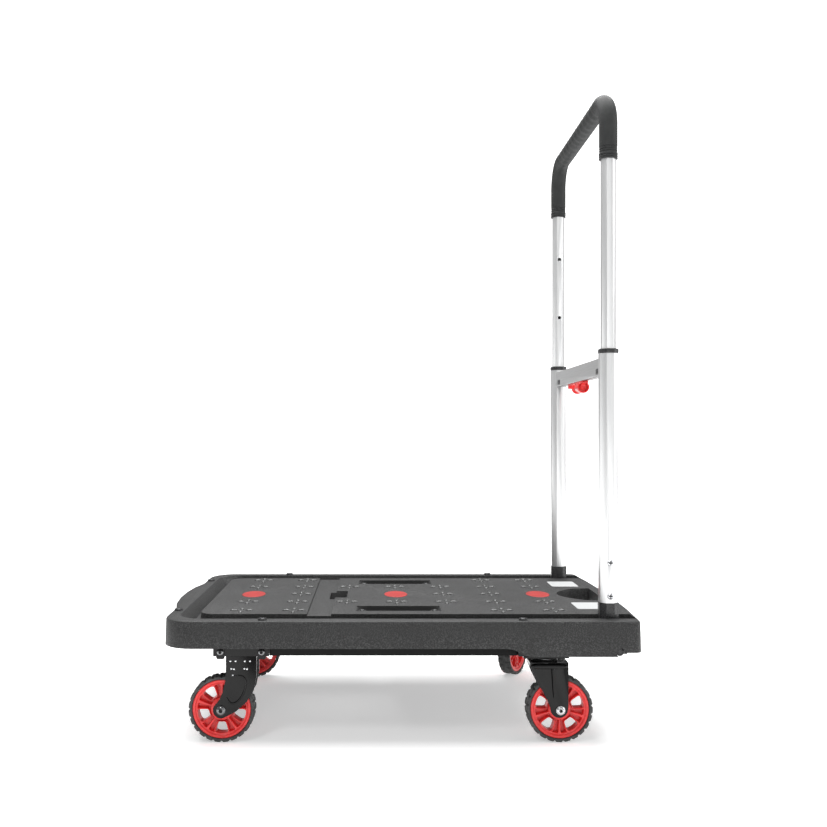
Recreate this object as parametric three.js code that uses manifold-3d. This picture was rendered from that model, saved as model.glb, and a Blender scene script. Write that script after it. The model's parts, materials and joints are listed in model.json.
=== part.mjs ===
// A folding platform cart with a telescopic handle, in millimetres.
// +X runs to the handle end, +Y to the right of a person who stands behind the handle, +Z up.
// The origin is on the floor, under the middle of the deck.
import * as THREE from "three";
import { mergeVertices } from "three/addons/utils/BufferGeometryUtils.js";
import Module from "manifold-3d";

const wasm = await Module();
wasm.setup();

// ---- driving dimensions -------------------------------------------------------------------------
const GAP = 0.3; // between pieces that touch
const RUNNING = 1.5; // beside pieces that swing
const FACETS = 24; // around a wheel
const ROUND = 12; // around a pin or a screw

// wheels and casters
const WHEEL_D = 102;
const TYRE_WIDTH = 25;
const TYRE_DEPTH = 6;
const TYRE_OVER_RIM = 1.5; // on each side
const RIM_WALL = 5.5;
const WEB_THICKNESS = 8;
const HUB_R = 13;
const BUSH_R = 8;
const AXLE_R = 4;
const AXLE_HEAD = [7, 3.5]; // radius, height
const WINDOWS = 5;
const WINDOW_FROM = [4.6, 3.7]; // a window's ends, from the hub and from the rim's wall
const WINDOW_HALF_ANGLE = 0.27;
const FORK_SIDE = 2; // wheel hub to fork leg
const FORK_STEEL = 3;
const AXLE_TO_PLATE = 83; // axle to the underside of a bracket
const FRONT_AXLE_FROM_END = 102.5;
const REAR_SWIVEL_FROM_END = 149;
const CASTER_FROM_SIDE = 47.5;
const TRAIL = 22;
const RIGHT_CASTER_TURN = 60; // degrees, as the right rear caster stands
const FRONT_FORK_X = [7.5, 54.5]; // leg edges behind the axle, at the top
const REAR_FORK_X = [-43, 12];
const CROWN_DROP = 16; // bracket underside to the fork's shoulder
const RACE_R = 19;
const KINGPIN_R = 5;
const BRACKET = { length: 86, width: 38, wall: 3 };

// under-frame
const FRAME_HEIGHT = 37; // brackets and rails, from the deck's ceiling down
const RAIL_WIDTH = 28;
const RAIL_WALL = 2.5;
const CROSS_WIDTH = 30;
const CROSS_HEIGHT = 21;

// deck
const DECK_LENGTH = 750;
const DECK_WIDTH = 475;
const GROOVE_FLOOR = 4; // material under a groove
const SKIRT_DEPTH = 41;
const SKIRT_STEP = 12; // how much deeper the skirt is at the handle end
const STEP_FROM_END = [215, 172];
const DECK_WALL = 4;
const END_BOW = [14, 9]; // front, rear
const FRONT_BULGE = 120; // half width of the front bow
const CORNER_R = [48, 12]; // front, rear
const DRAFT = 1.5;
const TOP_EDGE = 3;
const GROOVE_DEPTH = 18;
const RIM_FRONT = 34;
const RIM_REAR = 13;
const GROOVE_PLAY = [1.75, 4.75]; // inside and outside the folded foot
const GROOVE_FRONT = 29;
const GROOVE_SLOPE = 2; // how far the walls lean outward
const FRONT_SLOPE = 14; // the same, on the front groove's outer wall
const RIB = 3;
const SKIN = 7;
const CHANNEL_DEPTH = 3;
const CHANNEL_PLAY = 5;
const POCKET = { x: [-66, 69], from_side: [25, 68], depth: 9 }; // x from the middle badge
const BADGE = { across: [40, 61], recess: 1.2, proud: 0.4, from_end: 126, from_channel: 105 };
const HAND_HOLD = { tip: 92, mouth: 55, rear: 22, half: [58, 63] };
const WELL = { from_end: [110, 15] };

// handle
const TUBE_ACROSS = 28;
const TUBE_WALL = 2;
const TELESCOPE_PLAY = 1; // upper tube inside the lower one, on each side
const UPPER_WALL = 1.8;
const HANDLE_FROM_END = 51;
const HANDLE_FROM_SIDE = 43;
const FOLD_OFFSET = [-32, -29]; // pivot from the tube's axis and from the deck's top
const FOOT_ABOVE_DECK = 22;
const FOOT_BELOW_PIVOT = 12;
const FOOT_OVER = 0.75; // foot and collar over the tube, on each side
const PIVOT_PIN_R = 5;
const PIVOT_BOSS_R = 13;
const CHEEK = { thickness: 12, x: [-14, 54], below: 23 };
const LOWER_TUBE = 384; // length
const PLUG = 72;
const COLLAR = 7;
const UPPER_INSIDE = 69; // upper tube inside the lower one
const GLIDE = 12;
const GRIP_TOP = 1012;
const GRIP_OVER = 3.5; // rubber over the tube's flats
const GRIP_LEG = 99; // rubber on each leg, from the top tube's centre line down
const BEND_R = 45;
const BEND_STEPS = 6;
const HOLE_PITCH = 113.5;
const PIN_R = 3;
const PIN_LENGTH = 32;
const BAR = { across: [14, 28], below_collar: 5, wall: 1.6, pin_from_top: 6 };
const BAR_END = 12;
const BAR_SLOT = { from_tube: 20, length: 10, height: 9, lift: 3 };
const SADDLE = { half: 80, width: 12, thickness: 3.7 };
const ROLLER = { half: 29, r: 8.8, flange: [10.2, 5], bore: 5 };
const NECK = { half: 10, width: 4, height: 16 };
const SCREW = { head: [4, 2], shank: [2, 5], above_tube_end: [11, 62] };
const LOCK_ROD = { r: 5, from_pivot: [41, -18], end_from_side: 12 };
const NOTCH_R = 7;

// ---- sizes and places that follow from them -----------------------------------------------------
const RIM_WIDTH = TYRE_WIDTH - 2 * TYRE_OVER_RIM;
const RIM_R = WHEEL_D / 2 - TYRE_DEPTH;
const RIM_INNER_R = RIM_R - RIM_WALL;
const WINDOW_R = [HUB_R + WINDOW_FROM[0], RIM_INNER_R - WINDOW_FROM[1]];
const PLATE_THICKNESS = GROOVE_DEPTH + GROOVE_FLOOR; // ceiling to the top face
const UPPER_ACROSS = TUBE_ACROSS - 2 * TUBE_WALL - 2 * TELESCOPE_PLAY;
const FOOT_ACROSS = TUBE_ACROSS + 2 * FOOT_OVER;
const GRIP_R = UPPER_ACROSS / 2 + GRIP_OVER;
const AXLE_Z = WHEEL_D / 2;
const PLATE_Z = AXLE_Z + AXLE_TO_PLATE;
const CEILING = PLATE_Z + FRAME_HEIGHT;
const TOP = CEILING + PLATE_THICKNESS;
const SKIRT_Z = TOP - SKIRT_DEPTH;
const SKIRT_LOW = SKIRT_Z - SKIRT_STEP;
const HALF_L = DECK_LENGTH / 2;
const HALF_W = DECK_WIDTH / 2;
const CASTER_Y = HALF_W - CASTER_FROM_SIDE;
const FRONT_AXLE_X = -HALF_L + FRONT_AXLE_FROM_END;
const REAR_SWIVEL_X = HALF_L - REAR_SWIVEL_FROM_END;
const FRONT_BRACKET_X = FRONT_AXLE_X + (FRONT_FORK_X[0] + FRONT_FORK_X[1]) / 2;
const LEG_IN = TYRE_WIDTH / 2 + FORK_SIDE;
const LEG_OUT = LEG_IN + FORK_STEEL;
const HANDLE_X = HALF_L - HANDLE_FROM_END;
const HANDLE_Y = HALF_W - HANDLE_FROM_SIDE;
const PIVOT = [HANDLE_X + FOLD_OFFSET[0], TOP + FOLD_OFFSET[1]];
const TUBE_Z0 = TOP + FOOT_ABOVE_DECK;
const TUBE_Z1 = TUBE_Z0 + LOWER_TUBE;
const BAR_TOP = TUBE_Z1 - BAR.below_collar;
const BAR_BOTTOM = BAR_TOP - BAR.across[1];
const BAR_HALF = HANDLE_Y - TUBE_ACROSS / 2 - GAP;
const PIN_Z = BAR_TOP - BAR.pin_from_top;
const UPPER_Z0 = TUBE_Z1 - UPPER_INSIDE;
const BEND_Z = GRIP_TOP - GRIP_R - BEND_R;
const ROD_X = PIVOT[0] + LOCK_ROD.from_pivot[0];
const ROD_Z = PIVOT[1] + LOCK_ROD.from_pivot[1];
const PANEL_HALF = HANDLE_Y - FOOT_ACROSS / 2 - GROOVE_PLAY[0];
const GROOVE_HALF = HANDLE_Y + FOOT_ACROSS / 2 + GROOVE_PLAY[1];
const PANEL_FRONT = -HALF_L + RIM_FRONT + GROOVE_FRONT;
const CHEEK_IN = HANDLE_Y - FOOT_ACROSS / 2 - RUNNING;
const CHEEK_OUT = HANDLE_Y + FOOT_ACROSS / 2 + RUNNING;

// What the cross bar and the release grip need when the handle lies folded on the deck.
const folded = (z) => PIVOT[0] - (z - PIVOT[1]);
const FOLDED_BAR = [folded(BAR_TOP) - CHANNEL_PLAY, folded(BAR_BOTTOM) + CHANNEL_PLAY];
const FOLDED_GRIP = [folded(BAR_BOTTOM) - CHANNEL_PLAY, folded(BAR_BOTTOM) + 2 * ROLLER.flange[0] + CHANNEL_PLAY];
const MIDDLE_X = FOLDED_BAR[1] + BADGE.from_channel;
const POCKET_X = POCKET.x.map((x) => MIDDLE_X + x);
const POCKET_Y = [PANEL_HALF - POCKET.from_side[1], PANEL_HALF - POCKET.from_side[0]];

// ---- solids -------------------------------------------------------------------------------------
// A closed three.js geometry as a manifold-3d solid, with its faces turned out.
function solid(geometry) {
  const bare = geometry.clone();
  for (const name of Object.keys(bare.attributes)) if (name !== "position") bare.deleteAttribute(name);
  const merged = mergeVertices(bare, 1e-4);
  const vertProperties = merged.attributes.position.array;
  const triVerts = new Uint32Array(merged.index.array);
  const made = new wasm.Manifold(new wasm.Mesh({ numProp: 3, vertProperties, triVerts }));
  if (made.volume() > 0) return made;
  triVerts.reverse();
  return new wasm.Manifold(new wasm.Mesh({ numProp: 3, vertProperties, triVerts }));
}

const joined = (...solids) => solids.reduce((whole, next) => whole.add(next));
const cut = (whole, ...tools) => tools.reduce((left, tool) => left.subtract(tool), whole);

function box([x0, x1], [y0, y1], [z0, z1]) {
  const made = new THREE.BoxGeometry(x1 - x0, y1 - y0, z1 - z0);
  return solid(made.translate((x0 + x1) / 2, (y0 + y1) / 2, (z0 + z1) / 2));
}

const mid = (centre, width) => [centre - width / 2, centre + width / 2];

// A round bar along Y.
function bar(r, [y0, y1], x = 0, z = 0, facets = ROUND) {
  return solid(new THREE.CylinderGeometry(r, r, y1 - y0, facets).translate(x, (y0 + y1) / 2, z));
}

// A round bar along Z.
function post(r, [z0, z1], x = 0, y = 0, facets = ROUND) {
  const made = new THREE.CylinderGeometry(r, r, z1 - z0, facets).rotateX(Math.PI / 2);
  return solid(made.translate(x, y, (z0 + z1) / 2));
}

// A round piece turned about Y: each corner is [radius, y].
function turned(corners, facets = ROUND) {
  return solid(new THREE.LatheGeometry(corners.map(([r, y]) => new THREE.Vector2(r, y)), facets));
}

// A plan outline extruded up.
function slab(shape, [z0, z1], curveSegments = 8) {
  const made = new THREE.ExtrudeGeometry(shape, { depth: z1 - z0, bevelEnabled: false, curveSegments });
  return solid(made.translate(0, 0, z0));
}

// A side outline, drawn with +X right and +Z up, extruded along Y.
function side(shape, [y0, y1], curveSegments = 8) {
  const made = new THREE.ExtrudeGeometry(shape, { depth: y1 - y0, bevelEnabled: false, curveSegments });
  return solid(made.rotateX(Math.PI / 2).translate(0, y1, 0));
}

function polygon(corners) {
  return new THREE.Shape(corners.map(([x, y]) => new THREE.Vector2(x, y)));
}

// A solid whose plan outline changes from level to level: each level is [shape, z].
function layered(levels, curveSegments = 5) {
  const rings = levels.map(([shape]) => THREE.ShapeUtils.area(shape.getPoints(curveSegments)) < 0
    ? shape.getPoints(curveSegments).reverse()
    : shape.getPoints(curveSegments));
  const first = rings[0];
  if (first[0].distanceTo(first[first.length - 1]) < 1e-6) rings.forEach((ring) => ring.pop());
  const count = first.length;
  const positions = rings.flatMap((ring, k) => ring.flatMap((p) => [p.x, p.y, levels[k][1]]));
  const index = [];
  for (let k = 0; k + 1 < rings.length; k++) {
    for (let i = 0; i < count; i++) {
      const a = k * count + i;
      const b = k * count + ((i + 1) % count);
      index.push(a, b, b + count, a, b + count, a + count);
    }
  }
  const last = (rings.length - 1) * count;
  for (const [a, b, c] of THREE.ShapeUtils.triangulateShape(rings[0], [])) index.push(a, c, b);
  for (const [a, b, c] of THREE.ShapeUtils.triangulateShape(rings[rings.length - 1], [])) {
    index.push(last + a, last + b, last + c);
  }
  const made = new THREE.BufferGeometry();
  made.setAttribute("position", new THREE.Float32BufferAttribute(positions, 3)).setIndex(index);
  return solid(made);
}

// A regular octagon with two flats across X, by the width across its flats.
function octagon(across) {
  const r = across / 2 / Math.cos(Math.PI / 8);
  const corner = (k) => [r * Math.cos((k + 0.5) * Math.PI / 4), r * Math.sin((k + 0.5) * Math.PI / 4)];
  return polygon(Array.from({ length: 8 }, (_, k) => corner(k)));
}

function octagonPost(across, [z0, z1], x, y) {
  return slab(octagon(across), [z0, z1]).translate([x, y, 0]);
}

// A curve that steps from point to point, so a straight stretch is a single step of an extrusion.
class Stations extends THREE.Curve {
  constructor(points) {
    super();
    this.points = points;
  }
  getUtoTmapping(u) {
    return u;
  }
  getPoint(t) {
    const at = Math.min(Math.max(t, 0), 1) * (this.points.length - 1);
    const k = Math.min(Math.floor(at), this.points.length - 2);
    return this.points[k].clone().lerp(this.points[k + 1], at - k);
  }
}

// The handle's U: up one leg, over the top and down the other, starting and ending at height z0.
function handlePath(z0) {
  const inner = HANDLE_Y - BEND_R;
  const arc = (sign, k) => {
    const a = (k / BEND_STEPS) * (Math.PI / 2);
    return new THREE.Vector3(HANDLE_X, sign * (inner + BEND_R * Math.cos(a)), BEND_Z + BEND_R * Math.sin(a));
  };
  const steps = Array.from({ length: BEND_STEPS + 1 }, (_, k) => k);
  return [
    new THREE.Vector3(HANDLE_X, -HANDLE_Y, z0),
    ...steps.map((k) => arc(-1, k)),
    ...steps.reverse().map((k) => arc(1, k)),
    new THREE.Vector3(HANDLE_X, HANDLE_Y, z0),
  ];
}

function alongHandle(shape, hole, z0) {
  const points = handlePath(z0);
  const ring = shape.clone();
  ring.holes = [new THREE.Path(hole.getPoints(1))];
  const options = { steps: points.length - 1, extrudePath: new Stations(points), curveSegments: 1 };
  return solid(new THREE.ExtrudeGeometry(ring, options));
}

// ---- finishes -----------------------------------------------------------------------------------
const finish = (color, roughness, metalness = 0) => new THREE.MeshStandardMaterial({ color, roughness, metalness });
const DECK_PLASTIC = finish(0x3a3b3c, 0.75);
const BLACK_PLASTIC = finish(0x242526, 0.55);
const RED_PLASTIC = finish(0xe23336, 0.45);
const ALUMINIUM = finish(0xd6d8d8, 0.35, 0.9);
const BLACK_STEEL = finish(0x17181a, 0.4, 0.3);
const BRIGHT_STEEL = finish(0xc4c6c8, 0.25, 1);
const TYRE_RUBBER = finish(0x262829, 0.85);
const GRIP_RUBBER = finish(0x2e3031, 0.8);

const cart = new THREE.Group();

// Adds a named mesh, made from a solid or from a closed geometry.
function piece(name, material, made, parent = cart) {
  const { vertProperties, triVerts } = made.getMesh();
  const shared = new THREE.BufferGeometry();
  shared.setAttribute("position", new THREE.BufferAttribute(vertProperties, 3));
  shared.setIndex(new THREE.BufferAttribute(triVerts, 1));
  const flat = shared.toNonIndexed();
  flat.computeVertexNormals();
  const mesh = new THREE.Mesh(flat, material);
  mesh.name = name;
  parent.add(mesh);
  return mesh;
}

const SIDES = [["left", -1], ["right", 1]];

// ---- deck ---------------------------------------------------------------------------------------
// The deck's plan: bowed ends, wide corners at the front and tight ones at the rear.
function deckPlan(inset) {
  const [x0, x1] = [-HALF_L + END_BOW[0] + inset, HALF_L - END_BOW[1] - inset];
  const [w, rf, rr] = [HALF_W - inset, CORNER_R[0] - inset, CORNER_R[1] - inset];
  const [front, rear] = [-HALF_L + inset, HALF_L - inset];
  const [bulge, pull] = [FRONT_BULGE, (4 * front - x0) / 3];
  const shape = new THREE.Shape();
  shape.moveTo(x0 + rf, -w);
  shape.lineTo(x1 - rr, -w);
  shape.absarc(x1 - rr, -w + rr, rr, -Math.PI / 2, 0, false);
  shape.quadraticCurveTo(2 * rear - x1, 0, x1, w - rr);
  shape.absarc(x1 - rr, w - rr, rr, 0, Math.PI / 2, false);
  shape.lineTo(x0 + rf, w);
  shape.absarc(x0 + rf, w - rf, rf, Math.PI / 2, Math.PI, false);
  shape.lineTo(x0, bulge);
  shape.bezierCurveTo(pull, bulge / 2, pull, -bulge / 2, x0, -bulge);
  shape.lineTo(x0, -w + rf);
  shape.absarc(x0 + rf, -w + rf, rf, Math.PI, 1.5 * Math.PI, false);
  return shape;
}

// A plan with rounded front corners and square rear ones.
function grooveEdge(front, rear, half, r) {
  const shape = new THREE.Shape();
  shape.moveTo(front + r, -half);
  shape.lineTo(rear, -half);
  shape.lineTo(rear, half);
  shape.lineTo(front + r, half);
  shape.absarc(front + r, half - r, r, Math.PI / 2, Math.PI, false);
  shape.absarc(front + r, -half + r, r, Math.PI, 1.5 * Math.PI, false);
  return shape;
}

function groove() {
  const [outFront, outHalf, outR] = [-HALF_L + RIM_FRONT, GROOVE_HALF, CORNER_R[0] - 8];
  const outRear = HALF_L - RIM_REAR;
  const [inHalf, inR, s] = [PANEL_HALF, CORNER_R[0] / 2, GROOVE_SLOPE];
  const past = HALF_L + RIM_REAR;
  const trough = layered([
    [grooveEdge(outFront + FRONT_SLOPE, outRear, outHalf - s, outR - s), TOP - GROOVE_DEPTH],
    [grooveEdge(outFront, outRear, outHalf, outR), TOP + 1],
  ]);
  const panel = layered([
    [grooveEdge(PANEL_FRONT - s, past, inHalf + s / 4, inR + s), TOP - GROOVE_DEPTH - 1],
    [grooveEdge(PANEL_FRONT, past, inHalf, inR), TOP + 2],
  ]);
  return trough.subtract(panel);
}

function handHold() {
  const [tip, mouth, rear] = [HALF_L - HAND_HOLD.tip, HALF_L - HAND_HOLD.mouth, HALF_L - HAND_HOLD.rear];
  const [a, b] = HAND_HOLD.half;
  const shape = new THREE.Shape();
  shape.moveTo(tip, 0);
  shape.bezierCurveTo(tip, -a / 2, mouth - 12, -a + 12, mouth, -a);
  shape.lineTo(rear, -b);
  shape.lineTo(rear, b);
  shape.lineTo(mouth, a);
  shape.bezierCurveTo(mouth - 12, a - 12, tip, a / 2, tip, 0);
  return slab(shape, [SKIRT_LOW - 20, TOP + 5]);
}

// The hollow cells between the ribs, under the panel and inside its rounded corners.
function cells() {
  const [nx, ny] = [8, 5];
  const inside = grooveEdge(PANEL_FRONT + RIB + GROOVE_SLOPE, HALF_L, PANEL_HALF - RIB, CORNER_R[0] / 2);
  const core = slab(inside, [CEILING - 2, TOP], 4);
  const x0 = PANEL_FRONT + RIB + GROOVE_SLOPE;
  const [dx, dy] = [(HALF_L - HAND_HOLD.tip - 2 * RIB - x0) / nx, 2 * (PANEL_HALF - RIB) / ny];
  const made = [];
  for (let i = 0; i < nx; i++) {
    for (let j = 0; j < ny; j++) {
      const x = [x0 + i * dx + RIB / 2, x0 + (i + 1) * dx - RIB / 2];
      const y = [-PANEL_HALF + RIB + j * dy + RIB / 2, -PANEL_HALF + RIB + (j + 1) * dy - RIB / 2];
      const underPocket = Math.abs(j - (ny - 1) / 2) > 0.5 && x[1] > POCKET_X[0] - RIB && x[0] < POCKET_X[1] + RIB;
      const roof = TOP - SKIN - (underPocket ? POCKET.depth - RIB : 0);
      made.push(box(x, y, [CEILING - 1, roof]).intersect(core));
    }
  }
  return made;
}

function deck() {
  const body = layered([
    [deckPlan(0), SKIRT_LOW],
    [deckPlan(DRAFT), TOP - TOP_EDGE],
    [deckPlan(DRAFT + TOP_EDGE * 0.3), TOP - TOP_EDGE * 0.3],
    [deckPlan(DRAFT + TOP_EDGE), TOP],
  ]);
  const hollow = layered([
    [deckPlan(DECK_WALL), SKIRT_LOW - 1],
    [deckPlan(DECK_WALL + DRAFT), CEILING],
  ]);
  const [s0, s1] = STEP_FROM_END.map((d) => HALF_L - d);
  const under = new THREE.Shape();
  under.moveTo(-HALF_L - 10, SKIRT_LOW - 10);
  under.lineTo(s1, SKIRT_LOW - 10);
  under.lineTo(s1, SKIRT_LOW);
  under.bezierCurveTo((s0 + s1) / 2, SKIRT_LOW, (s0 + s1) / 2, SKIRT_Z, s0, SKIRT_Z);
  under.lineTo(-HALF_L - 10, SKIRT_Z);
  const wide = [-HALF_W - 10, HALF_W + 10];
  const cheekEnd = CHEEK_OUT + CHEEK.thickness + 1;
  const heel = box([ROD_X, HALF_L + 10], wide, [SKIRT_LOW - 10, ROD_Z]);
  const cheeks = SIDES.flatMap(([, s]) => [CHEEK_IN - CHEEK.thickness, CHEEK_OUT].map((y) => box(
    CHEEK.x.map((x) => PIVOT[0] + x),
    s > 0 ? [y, y + CHEEK.thickness] : [-y - CHEEK.thickness, -y],
    [PIVOT[1] - CHEEK.below, CEILING + 1],
  )));
  const shell = joined(cut(body, hollow, side(under, wide), heel), ...cheeks);
  const wells = SIDES.map(([, s]) => box(
    [HALF_L - WELL.from_end[0], HALF_L - WELL.from_end[1]],
    s > 0 ? [CHEEK_IN, CHEEK_OUT] : [-CHEEK_OUT, -CHEEK_IN],
    [CEILING - 2, TOP - GROOVE_DEPTH + 1],
  ));
  const pockets = SIDES.map(([, s]) => box(
    POCKET_X,
    s > 0 ? POCKET_Y : [-POCKET_Y[1], -POCKET_Y[0]],
    [TOP - POCKET.depth, TOP + 1],
  ));
  const rodRun = [-HALF_W + LOCK_ROD.end_from_side - RUNNING, HALF_W - LOCK_ROD.end_from_side + RUNNING];
  const rodSlot = box([ROD_X - LOCK_ROD.r - GAP, ROD_X + LOCK_ROD.r + GAP], rodRun, [SKIRT_LOW - 20, ROD_Z]);
  return cut(
    shell,
    groove(),
    ...cells(),
    ...wells,
    ...pockets,
    handHold(),
    box(FOLDED_BAR, [-PANEL_HALF - 2, PANEL_HALF + 2], [TOP - CHANNEL_DEPTH, TOP + 1]),
    box(FOLDED_GRIP, [-ROLLER.half - 4, ROLLER.half + 4], [CEILING - 2, TOP + 1]),
    bar(PIVOT_PIN_R + GAP, [-cheekEnd, cheekEnd], ...PIVOT),
    bar(LOCK_ROD.r + GAP, rodRun, ROD_X, ROD_Z),
    rodSlot,
    bar(NOTCH_R, wide, ROD_X, ROD_Z),
    ...badgePlaces().map((x) => oval(x, GAP, [TOP - BADGE.recess, TOP + 1])),
  );
}

function badgePlaces() {
  return [-HALF_L + BADGE.from_end, MIDDLE_X, HALF_L - BADGE.from_end];
}

function oval(x, grow, z) {
  const shape = new THREE.Shape();
  shape.absellipse(x, 0, BADGE.across[0] / 2 + grow, BADGE.across[1] / 2 + grow, 0, 2 * Math.PI, false);
  return slab(shape, z, 10);
}

piece("deck", DECK_PLASTIC, deck());
["front", "middle", "rear"].forEach((where, k) => {
  piece("badge_" + where, RED_PLASTIC, oval(badgePlaces()[k], 0, [TOP - BADGE.recess, TOP + BADGE.proud]));
});

// ---- under-frame --------------------------------------------------------------------------------
// A steel channel that opens upward.
function channel(x, y, z, wall, capped) {
  const [ix, iy] = [[x[0] + wall, x[1] - wall], [y[0] + wall, y[1] - wall]];
  const openX = [x[0] - 1, x[1] + 1];
  const openY = [y[0] - 1, y[1] + 1];
  const inner = { none: [ix, iy], x: [openX, iy], y: [ix, openY] }[capped];
  return box(x, y, z).subtract(box(inner[0], inner[1], [z[0] + wall, z[1] + 1]));
}

for (const [name, s] of SIDES) {
  const y = mid(s * CASTER_Y, BRACKET.width);
  const front = mid(FRONT_BRACKET_X, BRACKET.length);
  const rear = mid(REAR_SWIVEL_X, BRACKET.length);
  const tall = [PLATE_Z, CEILING];
  piece("front_bracket_" + name, BLACK_STEEL, channel(front, y, tall, BRACKET.wall, "none"));
  const rearBolt = post(KINGPIN_R + GAP, [PLATE_Z - 1, PLATE_Z + BRACKET.wall + 1], REAR_SWIVEL_X, s * CASTER_Y);
  piece("rear_bracket_" + name, BLACK_STEEL, channel(rear, y, tall, BRACKET.wall, "none").subtract(rearBolt));
  piece("side_rail_" + name, BLACK_STEEL,
    channel([front[1] + GAP, rear[0] - GAP], mid(s * CASTER_Y, RAIL_WIDTH), tall, RAIL_WALL, "x"));
}
const CROSS_HALF = CASTER_Y - BRACKET.width / 2 - GAP;
for (const [name, x] of [["front", FRONT_BRACKET_X], ["rear", REAR_SWIVEL_X]]) {
  piece("cross_member_" + name, BLACK_STEEL,
    channel(mid(x, CROSS_WIDTH), [-CROSS_HALF, CROSS_HALF], [CEILING - CROSS_HEIGHT, CEILING], RAIL_WALL, "y"));
}

// ---- wheels and casters -------------------------------------------------------------------------
// Each wheel is drawn round its own axle, which lies along Y.
function tyre() {
  const [inner, outer, half] = [RIM_R + GAP, AXLE_Z, TYRE_WIDTH / 2];
  return turned([
    [inner, -RIM_WIDTH / 2], [outer - 3, -half], [outer, -half + 3],
    [outer, half - 3], [outer - 3, half], [inner, RIM_WIDTH / 2], [inner, -RIM_WIDTH / 2],
  ], FACETS);
}

// A rim whose first window stands straight down, or turned round from there.
function rim(turn) {
  const [outer, inner, half, web] = [RIM_R, RIM_INNER_R, RIM_WIDTH / 2, WEB_THICKNESS / 2];
  const bore = BUSH_R + GAP;
  const body = turned([
    [bore, -half], [HUB_R, -half], [HUB_R, -web], [inner, -web], [inner, -half], [outer, -half],
    [outer, half], [inner, half], [inner, web], [HUB_R, web], [HUB_R, half], [bore, half], [bore, -half],
  ], FACETS);
  const windows = Array.from({ length: WINDOWS }, (_, k) => {
    const a = turn - Math.PI / 2 + (k * 2 * Math.PI) / WINDOWS;
    const at = (r, t) => [r * Math.cos(a + t), r * Math.sin(a + t)];
    const [r0, r1] = WINDOW_R;
    const w = WINDOW_HALF_ANGLE;
    return side(polygon([at(r0, -w), at(r1, -w), at(r1 * 1.03, 0), at(r1, w), at(r0, w)]), [-half, half]);
  });
  return cut(body, ...windows);
}

function bush() {
  const half = TYRE_WIDTH / 2;
  const [bore, outer] = [AXLE_R + GAP, BUSH_R];
  return turned([[bore, -half], [outer, -half], [outer, half], [bore, half], [bore, -half]]);
}

function wheel(name, parent, x, y, turn) {
  const group = new THREE.Group();
  group.position.set(x, y, AXLE_Z);
  parent.add(group);
  piece("tyre_" + name, TYRE_RUBBER, tyre(), group);
  piece("rim_" + name, RED_PLASTIC, rim(turn), group);
  piece("wheel_bush_" + name, BRIGHT_STEEL, bush(), group);
}

// A bolt through both fork legs, with its head and its nut outside them.
function axle() {
  const [r, h] = AXLE_HEAD;
  const [inside, outside] = [LEG_OUT + GAP, LEG_OUT + GAP + h];
  return turned([
    [0, -outside], [r - 1, -outside], [r, -outside + 1], [r, -inside], [AXLE_R, -inside],
    [AXLE_R, inside], [r, inside], [r, outside - 1], [r - 1, outside], [0, outside],
  ]);
}

// Both legs of a fork from one side outline, less the axle's holes.
function legs(shape) {
  const pair = [[-LEG_OUT, -LEG_IN], [LEG_IN, LEG_OUT]].map((y) => side(shape, y, 4));
  const hole = bar(AXLE_R + GAP, [-LEG_OUT - 1, LEG_OUT + 1], 0, 0);
  return pair.map((leg) => leg.subtract(hole));
}

// Heights in both forks are counted from the axle.
function frontFork() {
  const [a, b] = FRONT_FORK_X;
  const [end, top] = [12.3, AXLE_TO_PLATE];
  const shape = new THREE.Shape();
  shape.moveTo(b, top);
  shape.lineTo(a, top);
  shape.lineTo(a, top - 23);
  shape.bezierCurveTo(a, 36, 0, 15, end * Math.cos(2.6), end * Math.sin(2.6));
  shape.absarc(0, 0, end, 2.6, 5.06, false);
  shape.bezierCurveTo(30, -2, b, 22, b, top - 31);
  const plate = box([a, b], [-LEG_OUT, LEG_OUT], [top - FORK_STEEL, top]);
  return joined(plate, ...legs(shape));
}

function rearFork() {
  const [a, b] = REAR_FORK_X;
  const [end, top] = [13.5, AXLE_TO_PLATE - CROWN_DROP];
  const race = AXLE_TO_PLATE - 2 * FORK_STEEL;
  const shape = new THREE.Shape();
  shape.moveTo(b, top);
  shape.lineTo(a - 3, top);
  shape.lineTo(a + 3, top - 15);
  shape.bezierCurveTo(a + 10, 36, -20, 20, -2 - end, 3);
  shape.absarc(-2, 2, end, Math.PI, 2 * Math.PI, false);
  shape.lineTo(b, 8);
  const crown = box([a - 4, b], [-LEG_OUT, LEG_OUT], [top, top + 2 * FORK_STEEL]);
  const cup = post(RACE_R, [top + FORK_STEEL, race - GAP], -TRAIL, 0, FACETS);
  const bore = post(KINGPIN_R + GAP, [0, AXLE_TO_PLATE], -TRAIL, 0);
  return joined(crown, cup, ...legs(shape)).subtract(bore);
}

for (const [name, s] of SIDES) {
  const group = new THREE.Group();
  group.position.set(FRONT_AXLE_X, s * CASTER_Y, AXLE_Z);
  cart.add(group);
  piece("front_fork_" + name, BLACK_STEEL, frontFork(), group);
  piece("front_axle_" + name, BLACK_STEEL, axle(), group);
  wheel("front_" + name, cart, FRONT_AXLE_X, s * CASTER_Y, 0);
}

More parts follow.
